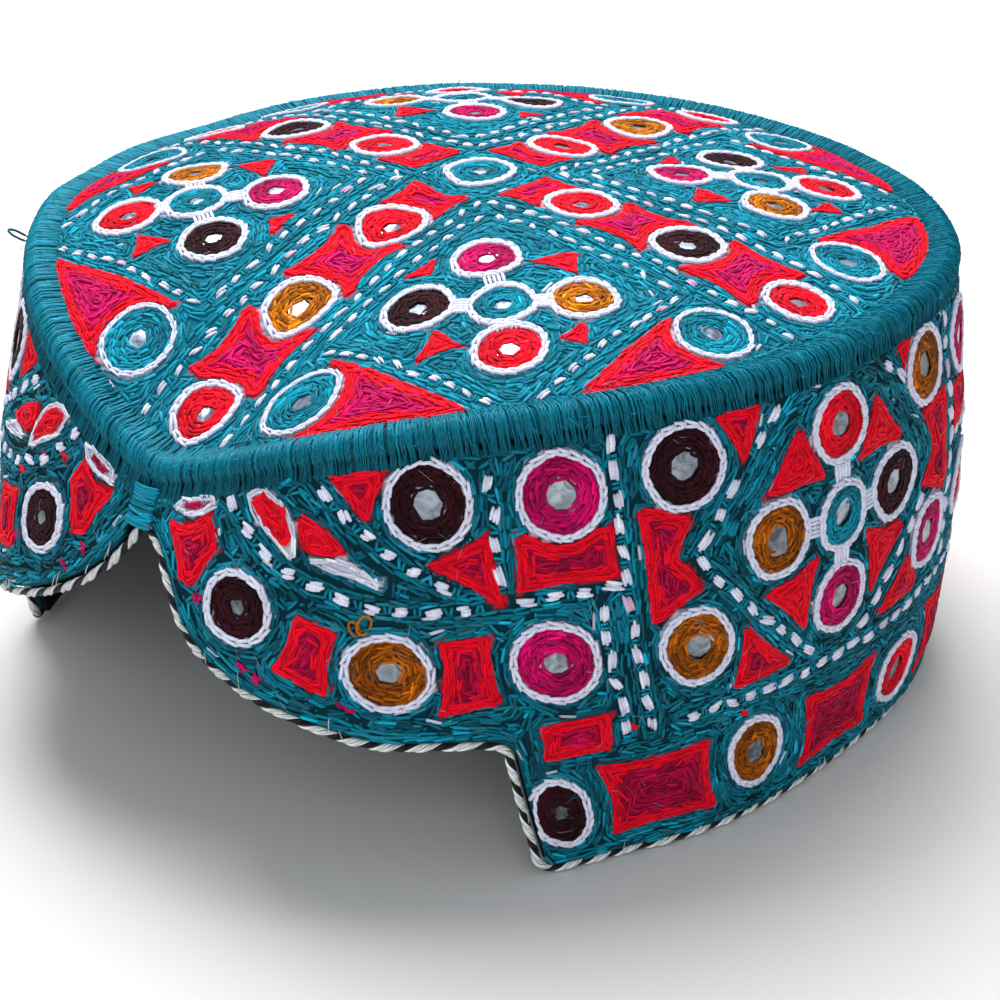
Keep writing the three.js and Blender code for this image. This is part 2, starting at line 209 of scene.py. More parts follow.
def band_surface(angle, height, lift):
    """Points on the side band at an angle and height, some way out from its cloth."""
    turned = angle + np.sign(angle) * eased(LEAN, "lean", angle) * (1 - height / WALL_HEIGHT) ** 2
    share = np.clip(1 - height / rim_height(turned), 0, 1)
    rim = rim_radius(turned)
    floor = RIM_RADIUS * eased(PLAN, "floor", turned)
    radius = rim + (floor - rim) * share + WALL_BULGE * np.sin(np.pi * share)
    fade = np.clip(np.minimum(height, rim_height(turned) - height) / 12, 0, 1)
    seam = np.clip((180 - np.abs(angle)) / 20, 0, 1)
    return polar(radius + lift + fade * seam * ripple(angle * CHART_MM_PER_DEG, height), turned, height)


def band_place(spot, lift):
    """Points on the side band, from flat chart points. The chart's upper part sags with the rim."""
    angle = spot[..., 0] / CHART_MM_PER_DEG
    height = spot[..., 1] - rim_sag(angle) * (spot[..., 1] / WALL_HEIGHT) ** 2
    return band_surface(angle, height, lift)


def chart_height(angle, height):
    """The chart's height for a real height on the band."""
    charted = height
    for _ in range(3):
        charted = height + rim_sag(angle) * (charted / WALL_HEIGHT) ** 2
    return charted


def crown_height(x, y):
    radius = np.hypot(x, y)
    angle = np.degrees(np.arctan2(x, -y))
    share = np.clip(radius / crown_edge(angle), 0, 1)
    fall = front_droop(angle) * share ** DROOP_POWER + rim_sag(angle) * share ** SAG_POWER
    away = np.hypot(x / RIM_RADIUS - DENT["x"], y / RIM_RADIUS - DENT["y"]) / DENT["reach"]
    dent = DENT_DEPTH * np.exp(-away ** 2)
    fade = np.clip((1 - share) / 0.15, 0, 1)
    rise = DOME_RISE * (1 - share ** DOME_POWER)
    return WALL_HEIGHT + rise - fall - dent + fade * ripple(x, y)


def crown_place(spot, lift):
    """Points on the crown, from flat chart points and a height above the cloth."""
    x, y = spot[..., 0], spot[..., 1]
    height = crown_height(x, y) + lift
    return np.stack([x + 0 * height, y + CROWN_Y + 0 * height, height], -1)


def unit(vectors):
    return vectors / np.maximum(np.linalg.norm(vectors, axis=-1, keepdims=True), 1e-9)


def normals_of(place, spot):
    """Directions that the cloth faces at flat chart points."""
    small = 0.3
    east = place(spot + (small, 0), 0.0) - place(spot - (small, 0), 0.0)
    north = place(spot + (0, small), 0.0) - place(spot - (0, small), 0.0)
    return unit(np.cross(east, north))


def headings(turn):
    return np.stack([np.cos(turn), np.sin(turn)], -1)


def signed(angle):
    """Angles of a full turn as angles on either side of the front."""
    return np.where(angle > 180, angle - 360, angle)


# Meshes

def mesh_piece(name, part, material, smooth=True, merge=False):
    """A mesh object from points in millimetres, with a colour at each point."""
    points, triangles = part["points"], part["triangles"]
    mesh = bpy.data.meshes.new(name)
    mesh.vertices.add(len(points))
    mesh.vertices.foreach_set("co", (points * 0.001).ravel())
    mesh.loops.add(3 * len(triangles))
    mesh.loops.foreach_set("vertex_index", triangles.ravel())
    mesh.polygons.add(len(triangles))
    mesh.polygons.foreach_set("loop_start", np.arange(0, 3 * len(triangles), 3))
    mesh.polygons.foreach_set("use_smooth", np.full(len(triangles), smooth))
    mesh.update(calc_edges=True)
    rgba = np.ones((len(points), 4))
    rgba[:, :3] = part["colours"]
    mesh.color_attributes.new("tint", "FLOAT_COLOR", "POINT").data.foreach_set("color", rgba.ravel())
    mesh.uv_layers.new(name="strand").data.foreach_set("uv", part["uv"][triangles.ravel()].ravel())
    mesh.materials.append(material)
    if merge:
        work = bmesh.new()
        work.from_mesh(mesh)
        bmesh.ops.remove_doubles(work, verts=work.verts, dist=1e-6)
        work.to_mesh(mesh)
        work.free()
    piece = bpy.data.objects.new(name, mesh)
    bpy.context.scene.collection.objects.link(piece)
    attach(piece, "root")
    return piece


def tube_parts(paths, facing, width, height, colours, sides=3, girth=1.0, shade=None):
    """Closed tapered threads along many paths that have the same number of points.

    paths and facing are (threads, points, 3). girth gives each section's share of the width,
    the first and last path points are the tips, and shade darkens or brightens each point.
    """
    count, length, _ = paths.shape
    along = unit(np.gradient(paths, axis=1))
    across = unit(np.cross(facing, along))
    upward = np.cross(along, across)
    turns = (np.arange(sides) + 0.5) / sides * 2 * np.pi + np.pi / 2
    girth = np.asarray(girth).reshape(1, -1, 1, 1)
    wide = np.asarray(width).reshape(-1, 1, 1, 1) * 0.5 * girth
    tall = np.asarray(height).reshape(-1, 1, 1, 1) * 0.5 * girth
    body = paths[:, 1:-1, None]
    body = body + across[:, 1:-1, None] * wide * np.cos(turns)[None, None, :, None]
    body = body + upward[:, 1:-1, None] * tall * np.sin(turns)[None, None, :, None]
    points = np.concatenate([body.reshape(count, -1, 3), paths[:, :1], paths[:, -1:]], axis=1)
    sections = length - 2
    first_tip = sections * sides
    last = first_tip - sides
    faces = []
    for k in range(sides):
        after = (k + 1) % sides
        faces += [(first_tip, after, k), (first_tip + 1, last + k, last + after)]
        for row in range(0, last, sides):
            a, b = row + k, row + after
            faces += [(a, b, b + sides), (a, b + sides, a + sides)]
    per_thread = first_tip + 2
    triangles = np.array(faces)[None] + (np.arange(count) * per_thread)[:, None, None]
    run = np.linalg.norm(paths[:, -1] - paths[:, 0], axis=1)
    u = np.repeat(np.linspace(0.15, 0.85, sections), sides)[None] * run[:, None]
    v = np.tile(np.arange(sides) / sides, sections)[None] + 0 * run[:, None]
    ends = np.stack([0 * run, run], axis=1)
    u = np.concatenate([u, ends], axis=1) + rng.random((count, 1)) * 7
    v = np.concatenate([v, 0 * ends + 0.5], axis=1)
    tints = np.repeat(np.asarray(colours)[:, None, :], per_thread, axis=1)
    if shade is not None:
        shades = np.concatenate([np.repeat(shade[1:-1], sides), shade[[0, -1]]])
        tints = np.clip(tints * shades[None, :, None], 0, 1)
    return {
        "points": points.reshape(-1, 3),
        "triangles": triangles.reshape(-1, 3),
        "colours": tints.reshape(-1, 3),
        "uv": np.stack([u, v], -1).reshape(-1, 2),
    }


def joined(parts):
    """Several sets of threads as one."""
    offsets = np.cumsum([0] + [len(part["points"]) for part in parts[:-1]])
    whole = {key: np.concatenate([part[key] for part in parts]) for key in ("points", "colours", "uv")}
    whole["triangles"] = np.concatenate([part["triangles"] + o for part, o in zip(parts, offsets)])
    return whole


def turned_over(part):
    return {**part, "triangles": part["triangles"][:, ::-1]}


def grid_parts(points, colours, wrap_rows=False, wrap_columns=False):
    """A sheet of triangles over a grid of points, closed on itself where asked."""
    rows, columns, _ = points.shape
    i, j = np.meshgrid(np.arange(rows - (not wrap_rows)), np.arange(columns - (not wrap_columns)),
                       indexing="ij")
    below, right = (i + 1) % rows, (j + 1) % columns
    a, b, c, d = (
        (row * columns + column).ravel()
        for row, column in ((i, j), (i, right), (below, right), (below, j))
    )
    return {
        "points": points.reshape(-1, 3),
        "triangles": np.concatenate([np.stack([a, b, c], -1), np.stack([a, c, d], -1)]),
        "colours": np.broadcast_to(colours, points.shape).reshape(-1, 3),
        "uv": np.zeros((rows * columns, 2)),
    }


FINE = {"shares": (0, 0.2, 0.8, 1), "girth": (1.0, 1.0), "sides": 3}
FULL = {"shares": (0, 0.12, 0.5, 0.88, 1), "girth": (0.78, 1.0, 0.78), "sides": 4}
BLUNT = {"shares": (0, 0.1, 0.5, 0.9, 1), "girth": (0.7, 1.0, 0.7), "sides": 4}


def stitches(place, starts, ends, shape, width, height, lift, colours, arch=0.0):
    """Short threads that lie on the cloth between pairs of chart points."""
    shares = np.array(shape["shares"])[None, :, None]
    spots = starts[:, None] + (ends - starts)[:, None] * shares
    rise = np.asarray(lift).reshape(-1, 1) + arch * np.sin(np.pi * shares[..., 0])
    tips = np.ones(spots.shape[1])
    tips[[0, -1]] = 0.0
    rise = rise * (0.35 + 0.65 * tips)
    paths = place(spots, rise)
    facing = normals_of(place, spots.mean(axis=1))[:, None] + 0 * paths
    return tube_parts(paths, facing, width, height, colours, shape["sides"], shape["girth"])


def tinted(colour, count, spread=0.2):
    """A thread colour that varies a little from stitch to stitch."""
    return np.clip(np.array(colour)[None] * np.exp(rng.normal(0, spread, (count, 1))), 0, 1)


# Chart geometry

def arc_polygon(corners, sags):
    """A closed outline through corners, with each side bent inward by its sag."""
    corners = np.array(corners, dtype=float)
    middle = corners.mean(axis=0)
    points = []
    for i, corner in enumerate(corners):
        ahead = corners[(i + 1) % len(corners)]
        run = ahead - corner
        inward = np.array([-run[1], run[0]]) / max(np.hypot(*run), 1e-6)
        if np.dot(middle - (corner + ahead) / 2, inward) < 0:
            inward = -inward
        for share in np.linspace(0, 1, 7)[:-1]:
            points.append(corner + run * share + inward * sags[i] * 4 * share * (1 - share))
    return np.array(points)


def distance_to_line(x, y, line):
    """Distance from grid points to a polyline."""
    best = np.full(x.shape, 1e9)
    for (ax, ay), (bx, by) in zip(line[:-1], line[1:]):
        dx, dy = bx - ax, by - ay
        share = np.clip(((x - ax) * dx + (y - ay) * dy) / max(dx * dx + dy * dy, 1e-9), 0, 1)
        best = np.minimum(best, np.hypot(x - ax - share * dx, y - ay - share * dy))
    return best


def inside_outline(x, y, outline):
    odd = np.zeros(x.shape, dtype=bool)
    for (ax, ay), (bx, by) in zip(outline, np.roll(outline, -1, axis=0)):
        if ay == by:
            continue
        crosses = (ay > y) != (by > y)
        odd ^= crosses & (x < (bx - ax) * (y - ay) / (by - ay) + ax)
    return odd


class Field:
    """Signed distances over a chart: what each point is nearest to, on a fine grid."""

    def __init__(self, low, high, period, base):
        self.period = period
        self.xs = np.arange(low[0], high[0] + FIELD_STEP, FIELD_STEP)
        self.ys = np.arange(low[1], high[1] + FIELD_STEP, FIELD_STEP)
        self.x, self.y = np.meshgrid(self.xs, self.ys, indexing="ij")
        self.ground = np.full(self.x.shape, FIELD_FAR)
        self.rings = np.full(self.x.shape, FIELD_FAR)
        # Painted shade: the bed under the ground stitches is teal darkened by the sheet's bed tone.
        self.tint = np.ones((*self.x.shape, 3)) * TEAL * base
        self.swell = np.full(self.x.shape, 0.08)

    def window(self, low, high):
        """Index ranges of the grid near a box, once for each turn round the chart."""
        shifts = (0,) if self.period is None else (0, self.period, -self.period)
        for shift in shifts:
            i0, i1 = np.searchsorted(self.xs, (low[0] + shift - FIELD_REACH, high[0] + shift + FIELD_REACH))
            j0, j1 = np.searchsorted(self.ys, (low[1] - FIELD_REACH, high[1] + FIELD_REACH))
            if i1 > i0 and j1 > j0:
                yield slice(i0, i1), slice(j0, j1), shift

    def keep_nearest(self, at, distance):
        self.ground[at] = np.minimum(self.ground[at], distance)

    def add_ring(self, ring):
        centre, radius = np.array(ring["at"]), RING_RADIUS * ring["size"]
        hollow = MIRROR_RADIUS * ring["size"] * ring["hole"] + 0.9
        for i, j, shift in self.window(centre - radius, centre + radius):
            across = (self.x[i, j] - centre[0] - shift) / ring["squash"]
            away = np.hypot(across, self.y[i, j] - centre[1]) - radius
            self.keep_nearest((i, j), away)
            self.rings[i, j] = np.minimum(self.rings[i, j], away)
            inside = away < 0
            white = away > -RING_WHITE * ring["white"]
            # Painted shade: the bed is darker under the rings, grey-white under the chain and the thread
            # colour times BED_SHADE within.
            self.tint[i, j][inside & white] = np.array(WHITE) * 0.7
            self.tint[i, j][inside & ~white] = np.array(COLOURS[ring["colour"]]) * BED_SHADE
            swell = np.maximum(self.swell[i, j], 0.2 * np.clip(-away / 0.7, 0, 1))
            self.swell[i, j] = np.where(away < hollow - radius, -0.3, swell)

    def add_line(self, line):
        for i, j, shift in self.window(line.min(0), line.max(0)):
            away = distance_to_line(self.x[i, j], self.y[i, j], line + (shift, 0))
            self.keep_nearest((i, j), away - DASH_HALF)

    def patch(self, outline, limit):
        """Signed distance of a filled patch, cut back from the rings, with its grid window."""
        for i, j, shift in self.window(outline.min(0), outline.max(0)):
            x, y = self.x[i, j], self.y[i, j]
            moved = outline + (shift, 0)
            away = distance_to_line(x, y, np.vstack([moved, moved[:1]]))
            away = np.where(inside_outline(x, y, moved), -away, away) - PATCH_SWELL
            away = np.maximum(away, PATCH_CLEAR - self.rings[i, j])
            yield i, j, np.maximum(away, limit[i, j])


def contours(values, xs, ys, level):
    """Lines where a grid of values crosses a level, as arrays of points."""
    above = values > level
    size = above.shape
    ends = {}
    points = {}

    def crossing(kind, i, j):
        key = (kind, i, j)
        if key not in points:
            a = values[i, j]
            b = values[i + 1, j] if kind == 0 else values[i, j + 1]
            share = (level - a) / (b - a)
            x = xs[i] + (share * (xs[i + 1] - xs[i]) if kind == 0 else 0)
            y = ys[j] + (share * (ys[j + 1] - ys[j]) if kind == 1 else 0)
            points[key] = (x, y)
        return key

    cells = above[:-1, :-1] * 1 + above[1:, :-1] * 2 + above[1:, 1:] * 4 + above[:-1, 1:] * 8
    pairs = {
        1: ((3, 0),), 2: ((0, 1),), 3: ((3, 1),), 4: ((1, 2),), 5: ((3, 0), (1, 2)), 6: ((0, 2),),
        7: ((3, 2),), 8: ((2, 3),), 9: ((2, 0),), 10: ((0, 1), (2, 3)), 11: ((2, 1),), 12: ((1, 3),),
        13: ((1, 0),), 14: ((0, 3),),
    }
    for i, j in zip(*np.nonzero((cells > 0) & (cells < 15))):
        sides = ((0, i, j), (1, i + 1, j), (0, i, j + 1), (1, i, j))
        for one, other in pairs[int(cells[i, j])]:
            a = crossing(*sides[one])
            b = crossing(*sides[other])
            ends.setdefault(a, []).append(b)
            ends.setdefault(b, []).append(a)
    lines = []
    seen = set()
    starts = sorted(ends, key=lambda key: len(ends[key]))
    for start in starts:
        if start in seen:
            continue
        line = [start]
        seen.add(start)
        here = start
        while True:
            ahead = [key for key in ends[here] if key not in seen]
            if not ahead:
                break
            here = ahead[0]
            seen.add(here)
            line.append(here)
        if len(line) > 2 and start in ends[here]:
            line.append(start)
        if len(line) > 1:
            lines.append(np.array([points[key] for key in line]))
    return lines


def even_points(line, pitch, unevenness=0.1):
    """Points at an uneven pitch along a line, and the line's length."""
    steps = np.hypot(*np.diff(line, axis=0).T)
    run = np.concatenate([[0], np.cumsum(steps)])
    count = max(1, int(round(run[-1] / pitch)))
    marks = np.linspace(0, run[-1], count + 1)
    marks[1:-1] += rng.normal(0, unevenness * pitch, count - 1)
    return np.stack([np.interp(marks, run, line[:, 0]), np.interp(marks, run, line[:, 1])], -1), run[-1]


def directions(run):
    """Unit vectors along flat steps, and to their left."""
    along = run / np.maximum(np.hypot(*run.T), 1e-6)[:, None]
    return along, np.stack([-along[:, 1], along[:, 0]], -1)


def chain(lines, pitch, half, spread, lap):
    """Chain stitch along lines: each link is a pair of threads that open like a V.

    lap is how far each link runs past its own pitch at both ends.
    """
    starts, ends = [np.zeros((0, 2))], [np.zeros((0, 2))]
    for line in lines:
        spots, length = even_points(line, pitch)
        if length < 0.6:
            continue
        run = np.diff(spots, axis=0)
        _, side = directions(run)
        for sign in (-1, 1):
            near = spots[:-1] - run * lap * 0.8 + side * sign * half * 0.3
            far = spots[1:] + run * lap + side * sign * half * 1.3
            starts.append(near + rng.normal(0, spread, near.shape))
            ends.append(far + rng.normal(0, spread, far.shape))
    return np.concatenate(starts), np.concatenate(ends)


def swung(starts, ends, spread):
    """The same stitches, each turned about its middle by a random angle."""
    middle, half = (starts + ends) / 2, (ends - starts) / 2
    turn = rng.normal(0, spread, len(starts))
    across = half[:, 0] * np.cos(turn) - half[:, 1] * np.sin(turn)
    up = half[:, 0] * np.sin(turn) + half[:, 1] * np.cos(turn)
    half = np.stack([across, up], -1)
    return middle - half, middle + half


def circle(centre, radius, first, squash):
    turn = first + np.linspace(0, TAU, 49)
    return np.stack([centre[0] + radius * squash * np.cos(turn), centre[1] + radius * np.sin(turn)], -1)


# Charts of the pattern

QUARTERS = tuple(product((-1, 1), repeat=2))


def make_ring(x, y, colour, size=1.08, white=1.0, hole=1.0, squash=1.0):
    """A mirror held by rows of coloured thread inside a white chain."""
    return {"at": (x, y), "colour": colour, "size": size, "white": white, "hole": hole, "squash": squash}


def make_patch(corners, sags, core, rim="scarlet"):
    """A filled outline with a rim colour and a core colour."""
    return {"outline": arc_polygon(corners, sags), "core": core, "rim": rim}


def quarter_turns():
    for turn in np.arange(4) * np.pi / 2:
        yield np.array([[math.cos(turn), -math.sin(turn)], [math.sin(turn), math.cos(turn)]])


def crown_rings():
    rings = [make_ring(0, 0, "teal", 1.0)]
    arms = {(0, -1): "ochre", (0, 1): "ochre", (1, 0): "brown", (-1, 0): "brown"}
    for (x, y), middle in arms.items():
        for reach, colour, size in ((24.8, "scarlet", 1.02), (49.3, middle, 1.02), (73.5, "scarlet", 0.94)):
            rings.append(make_ring(x * reach, y * reach, colour, size))
    cluster = (
        (38.3, 38.3, "teal", 0.93),
        (26.3, 28.7, "magenta", 0.95),
        (47.5, 47.3, "scarlet", 0.98),
        (48.4, 28.7, "ochre", 0.95),
        (25.6, 46.0, "brown", 0.97),
        (20.5, 70.2, "teal", 1.02, 0.76),
        (70.2, 20.4, "teal", 1.02, 0.76),
    )
    for (across, up), (x, y, *looks) in product(QUARTERS, cluster):
        rings.append(make_ring(across * x, up * y, *looks))
    return rings


def crown_patches():
    patches = []
    bows = ((11.0, 20.0, 6.6, 0.8), (30.2, 44.8, 7.8, 1.7), (54.2, 68.6, 8.3, 1.7))
    for spin, (near, far, half, waist) in product(quarter_turns(), bows):
        corners = np.array([(near, -half), (far, -half), (far, half), (near, half)])
        patches.append(make_patch(corners @ spin.T, (waist, 0.6, waist, 0.6), "cerise"))
    wedges = (
        ([(19.6, 61.6), (52.4, 62.6), (23.6, 81.6)], (0.5, -2.8, 1.6), "cerise"),
        ([(62.4, 22.8), (64.4, 53.0), (81.0, 25.6)], (0.5, -2.8, 1.6), "cerise"),
        ([(37.7, 17.4), (42.0, 23.2), (33.8, 24.4)], (0.5, 0.5, 0.5), "scarlet"),
        ([(33.4, 50.2), (39.8, 51.2), (35.6, 56.6)], (0.5, 0.5, 0.5), "scarlet"),
        ([(53.2, 34.1), (57.0, 38.2), (53.0, 39.8)], (0.5, 0.5, 0.5), "scarlet"),
        ([(17.6, 33.0), (20.1, 36.2), (17.0, 38.9)], (0.5, 0.5, 0.5), "scarlet"),
    )
    for flip, (corners, sags, core) in product(QUARTERS, wedges):
        patches.append(make_patch(np.array(corners) * flip, sags, core))
    return patches


def crown_dashes():
    lines = (
        [(10.2, 10.2), (80.5, 10.2)],
        [(15.2, 14.6), (57.0, 14.6)],
        [(59.4, 15.2), (59.4, 54.5)],
    )
    placed = product(quarter_turns(), (-1, 1), lines)
    return [(np.array(line) * (1, side)) @ spin.T for spin, side, line in placed]


def band_rings():
    """Rings by angle, height and colour, with what sets each one's size and form apart."""
    half = [
        (14.6, 51.0, "brown", {"size": 0.91, "hole": 0.7}),
        (30.0, 43.4, "umber", {"size": 1.02, "hole": 0.85}),
        (35.1, 71.9, "brown", {"size": 1.1}),
        (46.7, 43.9, "magenta", {"size": 1.11, "hole": 0.85}),
        (49.2, 73.0, "magenta", {"size": 1.13}),
        (44.0, 13.8, "brown", {"size": 1.1, "squash": 0.68, "hole": 0.8}),
        (62.9, 42.2, "umber", {"size": 1.11}),
        (63.2, 75.2, "brown", {"size": 1.14}),
        (70.9, 16.0, "umber", {"size": 1.16}),
        (101.6, 13.9, "scarlet", {}),
        (103.3, 75.9, "umber", {}),
        (104.4, 41.8, "magenta", {}),
        (117.0, 73.6, "magenta", {}),
        (117.0, 43.9, "scarlet", {}),
        (128.5, 13.8, "magenta", {}),
        (130.6, 75.4, "brown", {}),
        (129.4, 42.2, "umber", {}),
        (154.5, 13.8, "brown", {}),
        (166.4, 75.4, "brown", {}),
        (167.6, 42.2, "umber", {}),
    ]
    middle = [
        (180.0, 13.8, "umber", {}),
        (180.0, 43.9, "magenta", {}),
        (180.0, 72.9, "magenta", {}),
    ]
    cluster = (
        (0.0, 57.5, "teal", {"size": 1.0}),
        (-0.2, 74.7, "scarlet", {"size": 1.05}),
        (-0.2, 41.6, "magenta", {"size": 1.04}),
        (-10.5, 58.3, "umber", {"size": 1.08}),
        (10.3, 57.8, "brown", {"size": 1.06}),
    )
    half += [(centre + angle, *looks) for centre, (angle, *looks) in product((85.1, 148.5), cluster)]
    rows = [(-angle, *looks) for angle, *looks in half] + half + middle
    return [
        make_ring(angle * CHART_MM_PER_DEG, height, colour, **looks)
        for angle, height, colour, looks in rows
    ]


def band_patches():
    """Patches by corners in angles and heights, sags in millimetres and colours."""
    lobe = [
        ([(4.9, 60.6), (10.0, 63.8), (11.3, 59.4), (9.0, 52.2), (7.5, 52.8)],
         (1.4, 0, 0.4, 0, 0.6), "crimson"),
        ([(21.1, 51.6), (25.2, 49.9), (24.0, 39.4), (18.9, 42.6)], (0.3, 1.0, 0.3, 1.0), "crimson"),
        ([(35.5, 48.6), (40.2, 49.4), (40.3, 37.0), (34.4, 35.4)], (0.4, 1.0, 0.4, 1.0), "crimson"),
        ([(44.2, 32.0), (51.4, 32.4), (50.8, 25.8), (44.0, 25.4)], (0.4, 0.4, 0.4, 0.4), "crimson"),
        ([(23.0, 76.4), (31.2, 79.0), (28.5, 69.0)], (0, 0.6, 0.6), "crimson"),
        ([(35.2, 61.9), (41.0, 66.6), (42.0, 54.7)], (0.4, 0.4, 0.9), "crimson"),
        ([(21.4, 67.4), (26.2, 62.9), (22.0, 62.8)], (-1.0, 0, 0), "scarlet"),
        ([(14.2, 71.0), (19.4, 68.4), (20.5, 61.0), (16.2, 65.6)], (-0.6, -0.9, 0.2, 0), "scarlet", "white"),
        ([(5.2, 62.8), (6.2, 67.4), (11.2, 70.4), (9.8, 65.0)], (-0.5, 0.2, -0.3, -0.5), "crimson", "white"),
        ([(22.8, 61.2), (30.2, 58.4), (26.5, 61.4)], (0, 0, 0), "white", "white"),
    ]
    wedges = [
        ([(66.4, 85.0), (74.4, 85.6), (70.9, 73.8)], (0, 0.6, 0.6), "crimson"),
        ([(69.6, 43.2), (76.8, 32.6), (67.8, 31.8)], (0.6, 0, 0.6), "crimson"),
    ]
    bow = ([(-5.2, 66.4), (5.2, 66.4), (5.2, 58.0), (-5.2, 57.6)], (0.4, 0.6, 0.8, 0.6), "crimson")
    wing = ([(8.4, 68.8), (14.4, 66.8), (11.7, 58.8), (14.8, 53.0), (8.8, 48.2)],
            (0.3, 0.5, 0.4, 0.4, 0.5), "crimson")
    diamond = (
        ([(-6.6, 76.4), (-3.2, 66.6), (-12.0, 66.0)], (0.4, 0.8, 0.4), "scarlet"),
        ([(-4.6, 51.6), (-6.0, 38.6), (-12.2, 48.4)], (0.8, 0.4, 0.7), "scarlet"),
    )
    panel = ([(-6.7, 22.0), (6.9, 22.2), (6.9, 6.8), (-6.7, 6.8)], (1.2, 1.4, 1.2, 1.4), "crimson")

    def moved(shape, centre, flip=1):
        corners, *looks = shape
        return [(centre + flip * angle, height) for angle, height in corners], *looks

    half = lobe + wedges
    half += [moved(bow, centre) for centre in (49.3, 117.0)]
    half += [moved(wing, *at) for at in ((49.3, 1), (117.0, 1), (117.0, -1), (180.0, -1))]
    half += [moved(shape, *at) for shape, *at in product(diamond, (85.1, 148.5), (1, -1))]
    half += [moved(shape, *at) for at, shape in product(((170.2, -1), (63.4, 1), (233.6, -1)), wedges)]
    half += [moved(panel, centre) for centre in (56.0, 87.8, 115.4, 141.5, 167.2)]
    whole = [moved(shape, 0.0, flip) for flip, shape in product((1, -1), half)] + [moved(bow, 180.0)]
    return [make_patch(np.array(corners) * (CHART_MM_PER_DEG, 1), *looks) for corners, *looks in whole]


def band_dashes():
    half = (
        [(11.8, 69.0), (13.6, 65.6), (16.2, 61.6), (19.4, 58.8), (23.0, 56.5), (28.0, 54.7), (33.0, 54.0),
         (38.0, 54.2), (44.0, 55.2), (55.4, 56.4)],
        [(20.4, 76.0), (26.5, 68.2), (32.0, 62.0), (37.4, 57.4)],
        [(41.7, 78.0), (42.2, 57.2)],
        [(55.1, 83.0), (55.5, 58.0), (55.8, 26.5)],
        [(52.3, 54.0), (53.0, 27.0)],
        [(59.5, 28.6), (179.8, 28.9)],
        [(78.6, 86.0), (70.5, 72.6), (63.5, 58.4), (71.4, 45.2), (81.4, 31.4)],
        [(91.6, 86.0), (99.7, 72.6), (106.7, 58.4), (98.8, 45.2), (88.8, 31.4)],
        [(110.4, 83.0), (110.4, 31.0)],
        [(123.6, 83.0), (123.6, 31.0)],
        [(112.4, 56.4), (121.6, 56.4)],
        [(142.0, 86.0), (133.9, 72.6), (126.9, 58.4), (134.8, 45.2), (144.8, 31.4)],
        [(155.0, 86.0), (163.1, 72.6), (170.1, 58.4), (162.2, 45.2), (152.2, 31.4)],
        [(173.4, 83.0), (173.4, 31.0)],
        [(175.0, 56.4), (179.8, 56.4)],
    )
    return [np.array(line) * (flip * CHART_MM_PER_DEG, 1) for flip, line in product((1, -1), half)]


# Angles and heights of the groups of stray stitches on the lobes, by colour
FLECKS = {
    "magenta": ((15.2, 42.0), (17.0, 40.4), (25.6, 37.2), (9.6, 50.2), (-7.0, 49.6), (-9.2, 45.8),
                (-18.6, 44.4), (-23.4, 41.6)),
    "scarlet": ((-13.6, 62.6), (-17.4, 60.4), (-21.0, 55.6), (54.0, 29.4), (68.8, 25.2)),
}


# The lower edge of the side band, laid flat round the rim

def bend(a, b, c, count):
    share = np.linspace(0, 1, count, endpoint=False)[:, None]
    a, b, c = np.array(a), np.array(b), np.array(c)
    return a * (1 - share) ** 2 + b * 2 * share * (1 - share) + c * share ** 2


def spline(points, count):
    """A smooth line through points, as the part's source draws it."""
    points = np.array(points)
    padded = np.vstack([points[:1], points, points[-1:]])
    share = np.linspace(0, len(points) - 1, count * (len(points) - 1), endpoint=False)
    index = share.astype(int)
    t = (share - index)[:, None]
    p0, p1, p2, p3 = (padded[index + k] for k in range(4))
    v0, v1 = (p2 - p0) / 2, (p3 - p1) / 2
    return (2 * p1 - 2 * p2 + v0 + v1) * t ** 3 + (-3 * p1 + 3 * p2 - 2 * v0 - v1) * t ** 2 + v0 * t + p1


def edge_of_side(column):
    cusp = float(wall_top(np.array(0.0))) - SEAM_LENGTH - GAP - CORD_RADIUS
    rows = [(a * RIM_MM_PER_DEG, s * cusp) for a, s in zip(LOBE["angle"], LOBE[column])]
    x = STEP_ANGLE * RIM_MM_PER_DEG
    y = STEP_SHARE * cusp
    rows.append((x - EDGE_FILLET, y))
    back = 180 * RIM_MM_PER_DEG
    down = np.linspace((x, y - EDGE_FILLET), (x, CORD_RADIUS + EDGE_FILLET), 16, endpoint=False)
    along = np.linspace((x + EDGE_FILLET, CORD_RADIUS), (back, CORD_RADIUS), 150)
    return np.vstack([
        spline(rows, 8),
        bend((x - EDGE_FILLET, y), (x, y), (x, y - EDGE_FILLET), 5),
        down,
        bend((x, CORD_RADIUS + EDGE_FILLET), (x, CORD_RADIUS), (x + EDGE_FILLET, CORD_RADIUS), 5),
        along,
    ])


def whole_edge():
    """The edge all the way round, from the cusp by the right side, as angles and heights."""
    right = edge_of_side("right")
    left = edge_of_side("left")[1:-1][::-1]
    left = np.stack([360 * RIM_MM_PER_DEG - left[:, 0], left[:, 1]], -1)
    return np.vstack([right, left])


def inset_edge(edge, distance):
    round_ = 360 * RIM_MM_PER_DEG
    before = np.roll(edge, 1, axis=0)
    after = np.roll(edge, -1, axis=0)
    before[0, 0] -= round_
    after[-1, 0] += round_
    run = unit(after - before)
    return edge + np.stack([-run[:, 1], run[:, 0]], -1) * distance


def signed_angle(flat):
    """The angle for millimetres round the rim, from 0 to a full turn."""
    return signed(flat / RIM_MM_PER_DEG)


